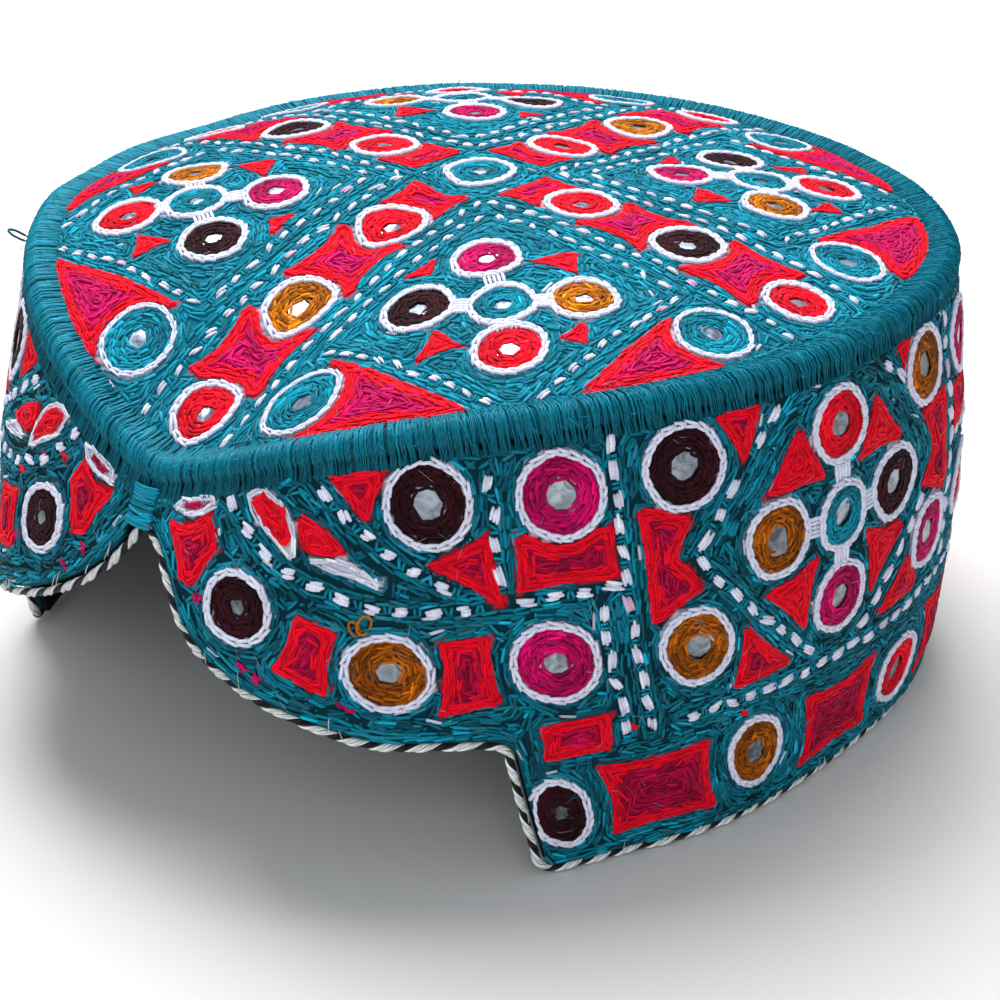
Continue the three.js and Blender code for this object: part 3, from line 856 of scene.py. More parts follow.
def wall_grid(rows, inset, closed=True):
    """Angles and heights from the edge up to the roll, in sections that fan out from the steps."""
    edge = whole_edge()
    steps = np.hypot(*np.diff(np.vstack([edge, edge[:1] + (360 * RIM_MM_PER_DEG, 0)]), axis=0).T)
    run = np.concatenate([[0], np.cumsum(steps)])
    right = int(np.argmin(np.abs(edge[:, 0] - 180 * RIM_MM_PER_DEG)))
    half = 180 * RIM_MM_PER_DEG
    tops = np.where(
        np.arange(len(edge)) <= right,
        half * run[:-1] / run[right],
        half + half * (run[:-1] - run[right]) / (run[-1] - run[right]),
    )
    lows = inset_edge(edge, inset)
    if not closed:
        side = SEAM_WIDTH / 2 + GAP
        keep = (lows[:, 0] > side) & (lows[:, 0] < 2 * half - side)
        lows = lows[keep]
        tops = tops[keep]
        tops[0] = lows[0, 0]
        tops[-1] = lows[-1, 0]
    limit = wall_top(signed_angle(tops))
    share = np.linspace(0, 1, rows)[None, :]
    flat = lows[:, :1] + (tops[:, None] - lows[:, :1]) * share
    height = lows[:, 1:] + (limit[:, None] - lows[:, 1:]) * share
    return signed_angle(flat), height


# Materials

def make_material(name, settings, nodes, links, bump):
    """A material whose points' tint is multiplied by its shade, with bump from its relief.

    nodes gives each node's type, attributes and inputs. bump gives a strength and a distance.
    """
    material = bpy.data.materials.new(name)
    material.use_nodes = True
    tree = material.node_tree
    made = {"shader": tree.nodes["Principled BSDF"]}
    nodes = {
        "tint": ("Attribute", {"attribute_name": "tint"}, {}),
        "spots": ("TexCoord", {}, {}),
        "mix": ("Mix", {"data_type": "RGBA", "blend_type": "MULTIPLY"}, {"Factor": 1.0}),
        "bump": ("Bump", {}, dict(zip(("Strength", "Distance"), bump))),
        **nodes,
    }
    for label, (kind, attributes, _) in nodes.items():
        made[label] = tree.nodes.new("ShaderNode" + kind)
        for key, value in attributes.items():
            setattr(made[label], key, value)
    for label, inputs in [("shader", settings)] + [(label, row[2]) for label, row in nodes.items()]:
        for key, value in inputs.items():
            made[label].inputs[key].default_value = value
    links += (
        ("tint", "Color", "mix", "A"),
        ("mix", "Result", "shader", "Base Color"),
        ("bump", "Normal", "shader", "Normal"),
    )
    for source, output, target, entry in links:
        tree.links.new(made[source].outputs[output], made[target].inputs[entry])
    return material, made


def thread_material(name, roughness, specular, ply, bump):
    """Thread with the twist of its plies in fine relief."""
    nodes = {
        "where": ("UVMap", {"uv_map": "strand"}, {}),
        "mapping": ("Mapping", {}, {"Scale": (ply, 2.0, 1.0)}),
        "wave": ("TexWave", {"wave_type": "BANDS", "bands_direction": "DIAGONAL"},
                 {"Scale": 1.0, "Distortion": 1.2, "Detail": 2.0, "Detail Scale": 2.0}),
        "fuzz": ("TexNoise", {}, {"Scale": 2600.0, "Detail": 2.0}),
        "relief": ("Math", {"operation": "ADD"}, {}),
        "shade": ("MapRange", {}, {"From Min": 0.35, "From Max": 1.55, "To Min": 0.62, "To Max": 1.34}),
    }
    links = (
        ("where", "UV", "mapping", "Vector"),
        ("mapping", "Vector", "wave", "Vector"),
        ("spots", "Object", "fuzz", "Vector"),
        ("wave", "Fac", "relief", 0),
        ("fuzz", "Fac", "relief", 1),
        ("relief", "Value", "shade", "Value"),
        ("shade", "Result", "mix", "B"),
        ("relief", "Value", "bump", "Height"),
    )
    settings = {"Roughness": roughness, "Specular IOR Level": specular}
    return make_material(name, settings, nodes, links, (bump, 0.00012))[0]


def cloth_material(name, weave, bump):
    """Plain woven cotton."""
    nodes = {
        "grain": ("TexNoise", {}, {"Scale": weave, "Detail": 4.0}),
        "shade": ("MapRange", {}, {"To Min": 0.6, "To Max": 1.3}),
    }
    links = (
        ("spots", "Object", "grain", "Vector"),
        ("grain", "Fac", "shade", "Value"),
        ("shade", "Result", "mix", "B"),
        ("grain", "Fac", "bump", "Height"),
    )
    settings = {"Roughness": 0.9, "Specular IOR Level": 0.12}
    return make_material(name, settings, nodes, links, (bump, 0.0003))[0]


def mirror_material():
    """Thin cut mirror, streaked and a little wavy, with painted reflections: its colour is mottled between
    dark and light grey-blue.
    """
    nodes = {
        "waves": ("TexNoise", {}, {"Scale": 300.0, "Detail": 2.0, "Distortion": 1.6}),
        "streaks": ("TexVoronoi", {"feature": "DISTANCE_TO_EDGE"}, {"Scale": 380.0}),
        "shade": ("ValToRGB", {}, {}),
        "rough": ("MapRange", {}, {"To Min": 0.16, "To Max": 0.42}),
        "relief": ("Math", {"operation": "ADD"}, {}),
    }
    links = (
        ("spots", "Object", "waves", "Vector"),
        ("spots", "Object", "streaks", "Vector"),
        ("waves", "Fac", "shade", "Fac"),
        ("shade", "Color", "mix", "B"),
        ("waves", "Fac", "rough", "Value"),
        ("rough", "Result", "shader", "Roughness"),
        ("waves", "Fac", "relief", 0),
        ("streaks", "Distance", "relief", 1),
        ("relief", "Value", "bump", "Height"),
    )
    material, made = make_material("mirror_glass", {"Metallic": 1.0}, nodes, links, (0.1, 0.0005))
    # Painted reflection: dark and light grey-blue.
    dark, bright = made["shade"].color_ramp.elements
    dark.position, dark.color = 0.35, (0.2, 0.215, 0.23, 1)
    bright.position, bright.color = 0.65, (0.52, 0.56, 0.62, 1)
    return material


THREAD = thread_material("thread", roughness=0.66, specular=0.12, ply=1.3, bump=0.7)
SATIN = thread_material("satin_thread", roughness=0.5, specular=0.14, ply=0.6, bump=0.5)
CORD = thread_material("cord_thread", roughness=0.45, specular=0.3, ply=0.9, bump=0.8)
BED = cloth_material("thread_bed", weave=1500.0, bump=0.9)
CLOTH = cloth_material("ground_cloth", weave=900.0, bump=0.5)
LINING = cloth_material("lining_cotton", weave=2200.0, bump=0.35)
MIRROR = mirror_material()


# Embroidery

def worked_field(sheet):
    """The chart's distance field, and each patch's own field, cut back from the rings."""
    field = Field(sheet["low"], sheet["high"], sheet["period"], sheet["tone"]["bed"])
    for ring in sheet["rings"]:
        field.add_ring(ring)
    limit = sheet["border"](field)
    filled = []
    for patch in sheet["patches"]:
        for i, j, away in field.patch(patch["outline"], limit + 0.5):
            filled.append((patch, i, j, away))
            rim = away > -PATCH_RIM[patch["rim"]]
            field.tint[i, j][(away < 0.1) & rim] = np.array(COLOURS[patch["rim"]]) * BED_SHADE
            field.tint[i, j][(away < 0.1) & ~rim] = np.array(COLOURS[patch["core"]]) * BED_SHADE
            swell = 0.2 + 0.25 * np.clip(-away / 1.2, 0, 1)
            field.swell[i, j] = np.where(away < 0.1, swell, field.swell[i, j])
    for line in sheet["dashes"]:
        field.add_line(line)
    for _, i, j, away in filled:
        field.keep_nearest((i, j), away)
    field.keep_nearest((slice(None), slice(None)), -limit)
    drift = np.sin(0.55 * field.x + 1.7 * np.sin(0.31 * field.y)) * np.sin(0.47 * field.y + 0.9)
    field.ground += ROW_DRIFT * drift * np.clip(field.ground / 2.0, 0, 1)
    return field, filled, limit


def ground_parts(place, field, keep, tone):
    """Teal chain stitch in rows that follow whatever lies nearest."""
    parts = []
    deepest = float(field.ground[field.ground < 0.9 * FIELD_FAR].max())
    for level in np.arange(0.5, deepest, ROW_WIDTH):
        lines = contours(field.ground, field.xs, field.ys, level)
        starts, ends = chain(lines, **GROUND_CHAIN)
        chosen = keep((starts + ends) / 2)
        starts, ends = starts[chosen], ends[chosen]
        count = len(starts)
        if count == 0:
            continue
        # The sheet's thread tone is 1 on the crown and 0.68 on the band, where it is painted shade.
        colours = tinted(np.array(TEAL) * tone["thread"], count, tone["spread"])
        # Brightness that varies slowly across the cloth.
        slow_tone = 1 + 0.22 * np.sin(0.09 * starts[:, 0] + 1) * np.sin(0.12 * starts[:, 1] + level)
        colours = colours * slow_tone[:, None]
        # Painted highlight: about one stitch in eight is lightened as a glint.
        pale = rng.random(count) < 0.12
        colours[pale] = colours[pale] * 1.15 + np.array(GLINT_TEAL) * tone["thread"]
        bare = rng.random(count) < 0.01
        colours[bare] = np.array(WHITE) * rng.uniform(0.6, 1.0, (int(bare.sum()), 1))
        lift = 0.14 + rng.normal(0, 0.07, count)
        width = 0.68 + rng.normal(0, 0.08, count)
        parts.append(stitches(place, starts, ends, FINE, width, height=0.5, lift=lift, colours=colours,
                              arch=0.1))
    return parts


def patch_parts(place, field, filled):
    """Patches: rows from the outline inward, bright at the rim and deeper in the core."""
    parts = []
    for patch, i, j, away in filled:
        rows = PATCH_RIM_ROWS[patch["rim"]]
        levels = np.arange(-0.35, away.min() + 0.1, -PATCH_ROW)
        for order, level in enumerate(levels):
            lines = contours(away, field.xs[i], field.ys[j], level)
            starts, ends = chain(lines, **PATCH_CHAIN)
            count = len(starts)
            if count == 0:
                continue
            mixed = order == rows and patch["rim"] != "white"
            bright = (rng.random(count) < 0.55) & mixed | (order < rows)
            rim = tinted(COLOURS[patch["rim"]], count, 0.2)
            core = tinted(COLOURS[patch["core"]], count, 0.24)
            colours = np.where(bright[:, None], rim, core)
            lift = 0.34 + 0.07 * min(order, 3) + rng.normal(0, 0.05, count)
            width = 0.58 + rng.normal(0, 0.05, count)
            starts, ends = swung(starts, ends, 0.04 if order < rows else 0.2)
            parts.append(stitches(place, starts, ends, FINE, width, height=0.5, lift=lift, colours=colours,
                                  arch=0.08))
    return parts


def fleck_parts(place, flecks):
    """Stray red and pink stitches, four at each spot."""
    parts = []
    for colour, spots in flecks.items():
        for angle, up in spots:
            spot = np.array((angle * CHART_MM_PER_DEG, up)) + rng.normal(0, 0.45, (4, 2))
            reach = headings(rng.normal(-0.5, 0.4, 4)) * 0.9
            parts.append(stitches(place, spot - reach, spot + reach, FINE, width=0.62, height=0.5,
                                  lift=0.36, colours=tinted(COLOURS[colour], 4, 0.2)))
    return parts


def ring_parts(place, rings, allowed, hole):
    """White chains, and the coloured rows inside them that hold the mirrors."""
    white, coloured = [], []
    for ring in rings:
        centre, share, squash = np.array(ring["at"]), ring["white"], ring["squash"]
        outer = RING_RADIUS * ring["size"]
        wobble = rng.random() * 6
        line = circle(centre, outer - RING_WHITE * share / 2, wobble, squash)
        line += 0.14 * np.sin(5 * np.linspace(0, TAU, len(line)) + wobble)[:, None]
        starts, ends = chain([line], **{**WHITE_CHAIN, "half": WHITE_CHAIN["half"] * share})
        kept = allowed((starts + ends) / 2)
        colours = tinted(WHITE, int(kept.sum()), 0.05)
        white.append(stitches(place, starts[kept], ends[kept], FULL, width=0.82 * share,
                              height=0.9 * share, lift=0.5, colours=colours, arch=0.12))
        inner = outer - RING_WHITE * share
        open_radius = hole * ring["size"] * ring["hole"]
        rows = max(1, round((inner - open_radius) / RING_ROW))
        step = (inner - open_radius) / rows
        stray = 0.26 if ring["colour"] in ("umber", "ochre") else 0.14
        lit = rng.random() * 2 * np.pi
        for row in range(rows):
            line = circle(centre, inner - step * (row + 0.5), wobble + row, squash)
            starts, ends = chain([line], **RING_CHAIN)
            kept = allowed((starts + ends) / 2)
            count = int(kept.sum())
            starts, ends = swung(starts[kept], ends[kept], stray)
            colours = tinted(COLOURS[ring["colour"]], count, 0.18 + stray)
            around = np.arctan2(*(starts - centre).T[::-1])
            colours = colours * (1 + 0.22 * np.cos(around - lit))[:, None]
            lift = 0.34 + rng.normal(0, 0.06, count)
            coloured.append(stitches(place, starts, ends, FINE, width=0.6, height=0.6, lift=lift,
                                     colours=colours, arch=0.1))
    return white, coloured


def bridge_parts(place, rings):
    """The white thread that joins a cluster's rings, where two chains nearly touch."""
    starts, ends = [], []
    for number, one in enumerate(rings):
        for other in rings[number + 1:]:
            spot, run = np.array(one["at"]), np.array(other["at"]) - np.array(one["at"])
            near, far = one["size"] * RING_RADIUS, other["size"] * RING_RADIUS
            apart = np.hypot(*run)
            if apart > near + far + 3.4 or "teal" not in (one["colour"], other["colour"]):
                continue
            run = run / apart
            side = np.array([-run[1], run[0]])
            middle = spot + run * (near + apart - far) / 2
            for shift in np.linspace(-1.6, 1.6, 5):
                reach = 1.5 + 0.35 * abs(shift)
                starts.append(middle + side * shift - run * reach)
                ends.append(middle + side * shift + run * reach)
    colours = tinted(WHITE, len(starts), 0.05)
    return [stitches(place, np.array(starts), np.array(ends), FULL, width=0.85, height=0.8, lift=0.5,
                     colours=colours)]


def dash_parts(place, dashes, free, dash):
    """Running stitch in white: threads side by side, with teal laid over between them."""
    parts, between = [], []
    for line in dashes:
        spots, _ = even_points(line, dash["pitch"], 0.05)
        along, side = directions(np.diff(spots, axis=0))
        middle = (spots[1:] + spots[:-1]) / 2
        clear = free(middle)
        middle, along, side = middle[clear], along[clear], side[clear]
        count = len(middle)
        if count == 0:
            continue
        lobe = np.abs(middle[:, 0]) < dash["lobe"]
        half = (dash["length"] / 2 * np.where(lobe, 0.74, 1.0) * rng.uniform(0.8, 1.15, count))[:, None]
        width = dash["width"] * np.where(lobe, 1.18, 1.0)
        sway = rng.normal(0, 0.2, (count, 1))
        twist = side * rng.normal(0, 0.26, (count, 1))
        blush = rng.random(count) < 0.05
        for strand in dash["strands"]:
            shift = side * (strand * dash["apart"] + sway) + along * rng.normal(0, 0.22, (count, 1))
            reach = along * (half * rng.uniform(0.72, 1.1, (count, 1)))
            colours = tinted(WHITE, count, 0.1)
            colours[blush] = colours[blush] * (1.0, 0.62, 0.72)
            lift = 0.3 + rng.normal(0, 0.08, count)
            parts.append(stitches(place, middle - reach + shift - twist, middle + reach + shift + twist,
                                  BLUNT, width, height=0.7, lift=lift, colours=colours, arch=0.12))
        for share in (0.42, 0.58):
            spot = middle + along * dash["pitch"] * share
            lean = along * rng.normal(0, 0.3, (count, 1))
            between.append(stitches(place, spot - side * 0.9 - lean, spot + side * 0.9 + lean,
                                    FINE, width=0.6, height=0.55, lift=0.22,
                                    colours=tinted(TEAL, count, 0.2)))
    return parts + between


def mirror_parts(place, rings, allowed, mirror):
    """Small cut mirrors, each a low many-sided plate with an uneven outline."""
    parts = []
    for ring in rings:
        centre = np.array(ring["at"], dtype=float)
        if not allowed(centre[None])[0]:
            continue
        corners = rng.integers(8, 11)
        turn = (np.arange(corners) + rng.random(corners) * 0.5) / corners * 2 * np.pi
        open_radius = mirror["hole"] * ring["size"] * ring["hole"]
        reach = (open_radius + MIRROR_LAP) * (1 + rng.normal(0, 0.05, corners))
        outline = centre + headings(turn) * reach[:, None]
        lift = 0.28 + (outline - centre) @ rng.normal(0, 0.05, 2)
        hub = place(centre[None], np.array([0.36]))
        base = place(centre[None], np.array([-0.2]))
        points = np.vstack([place(outline, lift), place(outline, lift - MIRROR_THICKNESS), hub, base])
        k = np.arange(corners)
        after = (k + 1) % corners
        top, low = 2 * corners + 0 * k, 2 * corners + 1 + 0 * k
        faces = [(top, k, after), (k, corners + k, corners + after), (k, corners + after, after),
                 (low, corners + after, corners + k)]
        parts.append({
            "points": points,
            "triangles": np.stack([np.stack(face, -1) for face in faces], 1).reshape(-1, 3),
            # Painted reflection: each mirror's colour is a random brightness times the sheet's sky cast.
            "colours": np.full((len(points), 3), rng.uniform(*mirror["shine"])) * mirror["painted_sky_cast"],
            "uv": np.zeros((len(points), 2)),
        })
    return parts


def hair_parts(place, low, high, keep, count):
    """Loose fibres that stand a little off the thread work."""
    starts = rng.uniform(low, high, (count, 2))
    turn = rng.uniform(0, 2 * np.pi, count)
    ends = starts + headings(turn) * rng.uniform(1.5, 4.5, count)[:, None]
    chosen = keep(starts) & keep(ends)
    starts, ends = starts[chosen], ends[chosen]
    pale = rng.random(len(starts)) < 0.45
    # Painted highlight: the teal fibres are nearly twice as light as the thread, as glints; the pale ones
    # are white.
    colours = np.where(pale[:, None], np.array(WHITE) * 0.75, np.array(TEAL) * 1.9)
    lift = 0.5 + rng.random(len(starts)) * 0.3
    return [stitches(place, starts, ends, FINE, width=0.06, height=0.06, lift=lift, colours=colours,
                     arch=0.25)]


def sampler(field, values):
    """Nearest grid value at chart points."""
    def value(spots):
        i = ((spots[..., 0] - field.xs[0]) / FIELD_STEP).round().astype(int)
        j = ((spots[..., 1] - field.ys[0]) / FIELD_STEP).round().astype(int)
        return values[np.clip(i, 0, len(field.xs) - 1), np.clip(j, 0, len(field.ys) - 1)]
    return value


def make_bed(sheet, field, limit):
    """The mass of thread below the top stitches: it swells under each motif, in its colour darkened as
    painted shade, so the gaps between stitches read as shadow.
    """
    thin = (slice(None, None, BED_SKIP), slice(None, None, BED_SKIP))
    spots = np.stack([field.x[thin], field.y[thin]], -1)
    part = grid_parts(sheet["place"](spots, field.swell[thin]), field.tint[thin])
    within = (limit[thin] < -0.35).ravel()
    triangles = part["triangles"][within[part["triangles"]].all(axis=1)]
    used, triangles = np.unique(triangles, return_inverse=True)
    bed = {key: part[key][used] for key in ("points", "colours", "uv")}
    bed["triangles"] = triangles.reshape(-1, 3)
    piece = mesh_piece(f"{sheet['name']}_thread_bed", turned_over(bed), BED)


def embroider(sheet):
    """All thread work and mirrors of one sheet of cloth."""
    name, place, rings, mirror = (sheet[key] for key in ("name", "place", "rings", "mirror"))
    field, filled, edge = worked_field(sheet)
    make_bed(sheet, field, edge)
    patch_near = np.full(field.x.shape, FIELD_FAR)
    for _, i, j, away in filled:
        patch_near[i, j] = np.minimum(patch_near[i, j], away)
    limit, from_ring, from_patch = (sampler(field, values) for values in (edge, field.rings, patch_near))

    def on_cloth(spots):
        return limit(spots) < -0.3

    def clear_of_work(spots):
        return (limit(spots) < -1.0) & (from_ring(spots) > 0.7) & (from_patch(spots) > 0.5)

    work = {}
    for side, test in sheet["halves"].items():
        work[f"ground_{side}"] = ground_parts(place, field, lambda spots: on_cloth(spots) & test(spots),
                                              sheet["tone"])
    work["patches"] = patch_parts(place, field, filled) + fleck_parts(place, sheet["flecks"])
    white, work["rings"] = ring_parts(place, rings, on_cloth, mirror["hole"])
    dashes = dash_parts(place, sheet["dashes"], clear_of_work, sheet["dash"])
    work["white_chains"] = white + bridge_parts(place, rings)
    work["dashes"] = dashes
    work["loose_fibres"] = hair_parts(place, sheet["low"], sheet["high"], on_cloth, sheet["hairs"])
    for label, parts in work.items():
        piece = mesh_piece(f"{name}_{label}", joined(parts), THREAD)
    mirrors = joined(mirror_parts(place, rings, on_cloth, mirror))
    piece = mesh_piece(f"{name}_mirrors", mirrors, MIRROR, smooth=False)


def crown_border(field):
    angle = np.degrees(np.arctan2(field.x, -field.y))
    return np.hypot(field.x, field.y) - crown_edge(angle)


def band_border(field):
    """Signed distance to the band's outline: negative on the cloth."""
    flat = inset_edge(whole_edge(), CORD_RADIUS + GAP)
    angle = signed_angle(flat[:, 0])
    edge = np.stack([angle * CHART_MM_PER_DEG, chart_height(angle, flat[:, 1])], -1)
    crossing = int(np.argmax(np.abs(np.diff(edge[:, 0])))) + 1
    line = np.vstack([edge[crossing:], edge[:crossing]])
    line = np.vstack([(-BACK - 20, line[0, 1]), line, (BACK + 20, line[-1, 1])])
    across = field.xs / CHART_MM_PER_DEG
    top = chart_height(across, wall_top(across))
    outline = np.vstack([line, (BACK + 20, WALL_HEIGHT + 20), (-BACK - 20, WALL_HEIGHT + 20)])
    away = distance_to_line(field.x, field.y, line)
    away = np.where(inside_outline(field.x, field.y, outline), -away, away)
    return np.maximum(away, field.y - top[:, None])


CROWN_SHEET = {
    "name": "crown",
    "slot": "crown_cloth",
    "place": crown_place,
    "rings": crown_rings(),
    "patches": crown_patches(),
    "dashes": crown_dashes(),
    "low": (-90.0, -90.0),
    "high": (90.0, 90.0),
    "period": None,
    "border": crown_border,
    "halves": {"all": lambda spots: np.ones(len(spots), dtype=bool)},
    "dash": {"pitch": 4.1, "length": 2.7, "apart": 0.24, "width": 0.66, "strands": (-1, 1), "lobe": 0.0},
    # Painted shade: the bed under the crown's stitches is its teal at 0.62.
    "tone": {"thread": 1.0, "bed": 0.62, "spread": 0.26},
    # Painted reflection: the crown's mirrors are bright and blue-tinted like a sky.
    "mirror": {"hole": 1.9, "shine": (0.75, 1.0), "painted_sky_cast": (0.92, 0.95, 1.12)},
    "flecks": {},
    "hairs": 500,
}
BAND_SHEET = {
    "name": "band",
    "slot": "band_cloth",
    "place": band_place,
    "rings": band_rings(),
    "patches": band_patches(),
    "dashes": band_dashes(),
    "low": (-BACK, 0.0),
    "high": (BACK, 88.0),
    "period": 2 * BACK,
    "border": band_border,
    "halves": {"left": lambda spots: spots[:, 0] <= 0, "right": lambda spots: spots[:, 0] > 0},
    "dash": {"pitch": 4.9, "length": 3.6, "apart": 0.5, "width": 0.88, "strands": (-1, 0, 1), "lobe": 62.0},
    # Painted shade: the band's teal thread is the crown's teal darkened to 0.68.
    # Painted shade: the bed under the band's stitches is its teal at 0.1, nearly black.
    "tone": {"thread": 0.68, "bed": 0.1, "spread": 0.4},
    # Painted reflection: the band's mirrors are darker than the crown's.
    "mirror": {"hole": MIRROR_RADIUS, "shine": (0.35, 0.8), "painted_sky_cast": (0.95, 1.0, 1.04)},
    "flecks": FLECKS,
    "hairs": 700,
}


# Cloth under the thread

def strip_piece(name, sections):
    """A strip of cloth with open ends, from closed ring sections, with a cap at each end."""
    # The cloth is dark teal: painted shade that shows in the gaps between the threads over it.
    part = grid_parts(sections, TEAL_DEEP, wrap_columns=True)
    count = sections.shape[1]
    last = (sections.shape[0] - 1) * count
    caps = []
    for k in range(count // 2 - 1):
        far = count - 1 - k
        caps += [(k, far, far - 1), (k, far - 1, k + 1)]
        caps += [(last + k, last + far - 1, last + far), (last + k, last + k + 1, last + far - 1)]
    part["triangles"] = np.vstack([part["triangles"], np.array(caps)])
    return mesh_piece(name, turned_over(part), CLOTH)


def make_crown_cloth():
    sectors, rings = 96, 24
    turn = np.linspace(0, 360, sectors, endpoint=False)
    angle, reach = np.meshgrid(turn, np.sin(np.linspace(0, 0.5 * np.pi, rings)), indexing="ij")
    radius = reach * crown_edge(signed(angle))
    spots = np.stack([radius * np.sin(np.radians(angle)), -radius * np.cos(np.radians(angle))], -1)
    # The crown's cloth is dark teal: painted shade for the gaps between stitches.
    layers = (
        ("crown_cloth_base", 0.0, -CROWN_THICKNESS + 0.9, TEAL_DEEP, CLOTH, "crown_cloth"),
        ("crown_inside", -CROWN_THICKNESS + 0.8, -CROWN_THICKNESS, BLACK, LINING, "lining"),
    )
    for name, upper, lower, colour, material, slot in layers:
        faces = np.concatenate([crown_place(spots, upper), crown_place(spots, lower)[:, ::-1]], axis=1)
        part = turned_over(grid_parts(faces, colour, wrap_rows=True))
        piece = mesh_piece(name, part, material, merge=True)
        if name == "crown_cloth_base":
            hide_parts("crown")


def make_band_cloth():
    angle, height = wall_grid(rows=9, inset=CORD_RADIUS + GAP, closed=False)
    outer = band_surface(angle, height, 0.0)
    inner = band_surface(angle, height, -CLOTH_THICKNESS)[:, ::-1]
    piece = strip_piece("band_cloth_base", np.concatenate([outer, inner], axis=1))
    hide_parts("side_band")


def make_lining():
    angle, height = wall_grid(rows=8, inset=CORD_RADIUS + GAP - 0.5)
    outer = band_surface(angle, height, -CLOTH_THICKNESS - GAP)
    inner = band_surface(angle, height, -CLOTH_THICKNESS - GAP - LINING_THICKNESS)[:, ::-1]
    part = grid_parts(np.concatenate([outer, inner], axis=1), BLACK, wrap_rows=True, wrap_columns=True)
    piece = mesh_piece("band_lining", turned_over(part), LINING)
    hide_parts("side_lining")


# Roll, seam and cord

def roll_point(angle, turn, radius):
    """A point on the roll: turn 0 faces outward, 90 up."""
    out = rim_radius(signed(angle)) - ROLL_INSET + radius * np.cos(np.radians(turn))
    height = rim_height(signed(angle)) - ROLL_SINK + radius * np.sin(np.radians(turn))
    return polar(out, angle, height)


def roll_thread_paths(starts, slants, lifts, tails):
    """Satin threads that come up through the crown, cross the roll and go down into the band."""
    turns = (118, 82, 46, 10, -26)
    count = len(turns) + 4
    angles = (starts[:, None] + slants[:, None] * np.linspace(0, 1, count)[None]) % 360
    points = []
    for k, (inward, lift) in enumerate(((tails, -0.3), (tails * 0.55, 0.3))):
        at = np.radians(angles[:, k])
        out = crown_edge(signed(angles[:, k])) - inward
        x, y = out * np.sin(at), -out * np.cos(at)
        points.append(np.stack([x, y + CROWN_Y, crown_height(x, y) + lift + lifts * 0.5], -1))
    for k, turn in enumerate(turns):
        points.append(roll_point(angles[:, k + 2], turn, ROLL_RADIUS + 0.12 + lifts))
    for k, (below, lift) in enumerate(((tails * 0.4, 0.3), (tails * 1.2, -0.2))):
        at = signed(angles[:, count - 2 + k])
        points.append(band_surface(at, wall_top(at) - below, lift + lifts * 0.5))
    return np.stack(points, axis=1)


def make_roll():
    sectors, sides = 240, 12
    angle, turn = np.meshgrid(np.linspace(0, 360, sectors, endpoint=False),
                              np.linspace(0, 360, sides, endpoint=False), indexing="ij")
    # The core is dark teal: painted shade between the satin threads.
    core = grid_parts(roll_point(angle, turn, ROLL_RADIUS), TEAL_DEEP, True, True)
    piece = mesh_piece("roll_core", core, CLOTH)
    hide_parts("crown_roll")
    parts = []
    layers = (
        {"count": 980, "width": 0.8, "lift": 0.0, "slant": 1.2, "spread": 0.6, "bright": 0.6},
        {"count": 1120, "width": 0.5, "lift": 0.1, "slant": 2.0, "spread": 1.0, "bright": 0.78},
    )
    corner_width = 9.0
    # Painted light: each satin thread is lighter over the top of the roll and darker down its outer side and
    # onto the band.
    shade = np.array([0.95, 1.0, 1.15, 1.15, 1.0, 0.85, 0.7, 0.6, 0.6])
    for layer in layers:
        count = layer["count"]
        starts = np.linspace(0, 360, count, endpoint=False) + rng.normal(0, 0.12, count)
        slants = layer["slant"] + rng.normal(0, layer["spread"], count)
        lifts = layer["lift"] + rng.normal(0, 0.035, count)
        corner = np.exp(-(np.minimum(starts % 360, 360 - starts % 360) / corner_width) ** 2)
        tails = 0.5 + rng.random(count) * 1.0 + 3.2 * corner * rng.random(count)
        paths = roll_thread_paths(starts, slants, lifts, tails)
        facing = unit(paths - roll_point(starts[:, None] + 0 * paths[..., 0], 0.0, 0.0))
        colours = tinted(np.array(TEAL) * layer["bright"], count, 0.16)
        parts.append(tube_parts(paths, facing, layer["width"], height=0.42, colours=colours, shade=shade))
    hairs = 700
    starts = rng.uniform(0, 360, hairs)
    turns = rng.uniform(0, 150, hairs)
    steps = np.linspace(0, 1, 4)[None]
    angles = (starts[:, None] + rng.normal(0, 0.9, (hairs, 1)) * steps) % 360
    reach = ROLL_RADIUS + 0.2 + rng.uniform(0.5, 1.8, (hairs, 1)) * steps ** 0.7
    paths = roll_point(angles, turns[:, None] + rng.normal(0, 22, (hairs, 1)) * steps, reach)
    facing = unit(paths - roll_point(angles, 0.0, 0.0))
    colours = tinted(np.array(TEAL) * 1.3, hairs, 0.3)
    parts.append(tube_parts(paths, facing, width=0.09, height=0.09, colours=colours))
    piece = mesh_piece("roll_satin", joined(parts), SATIN)


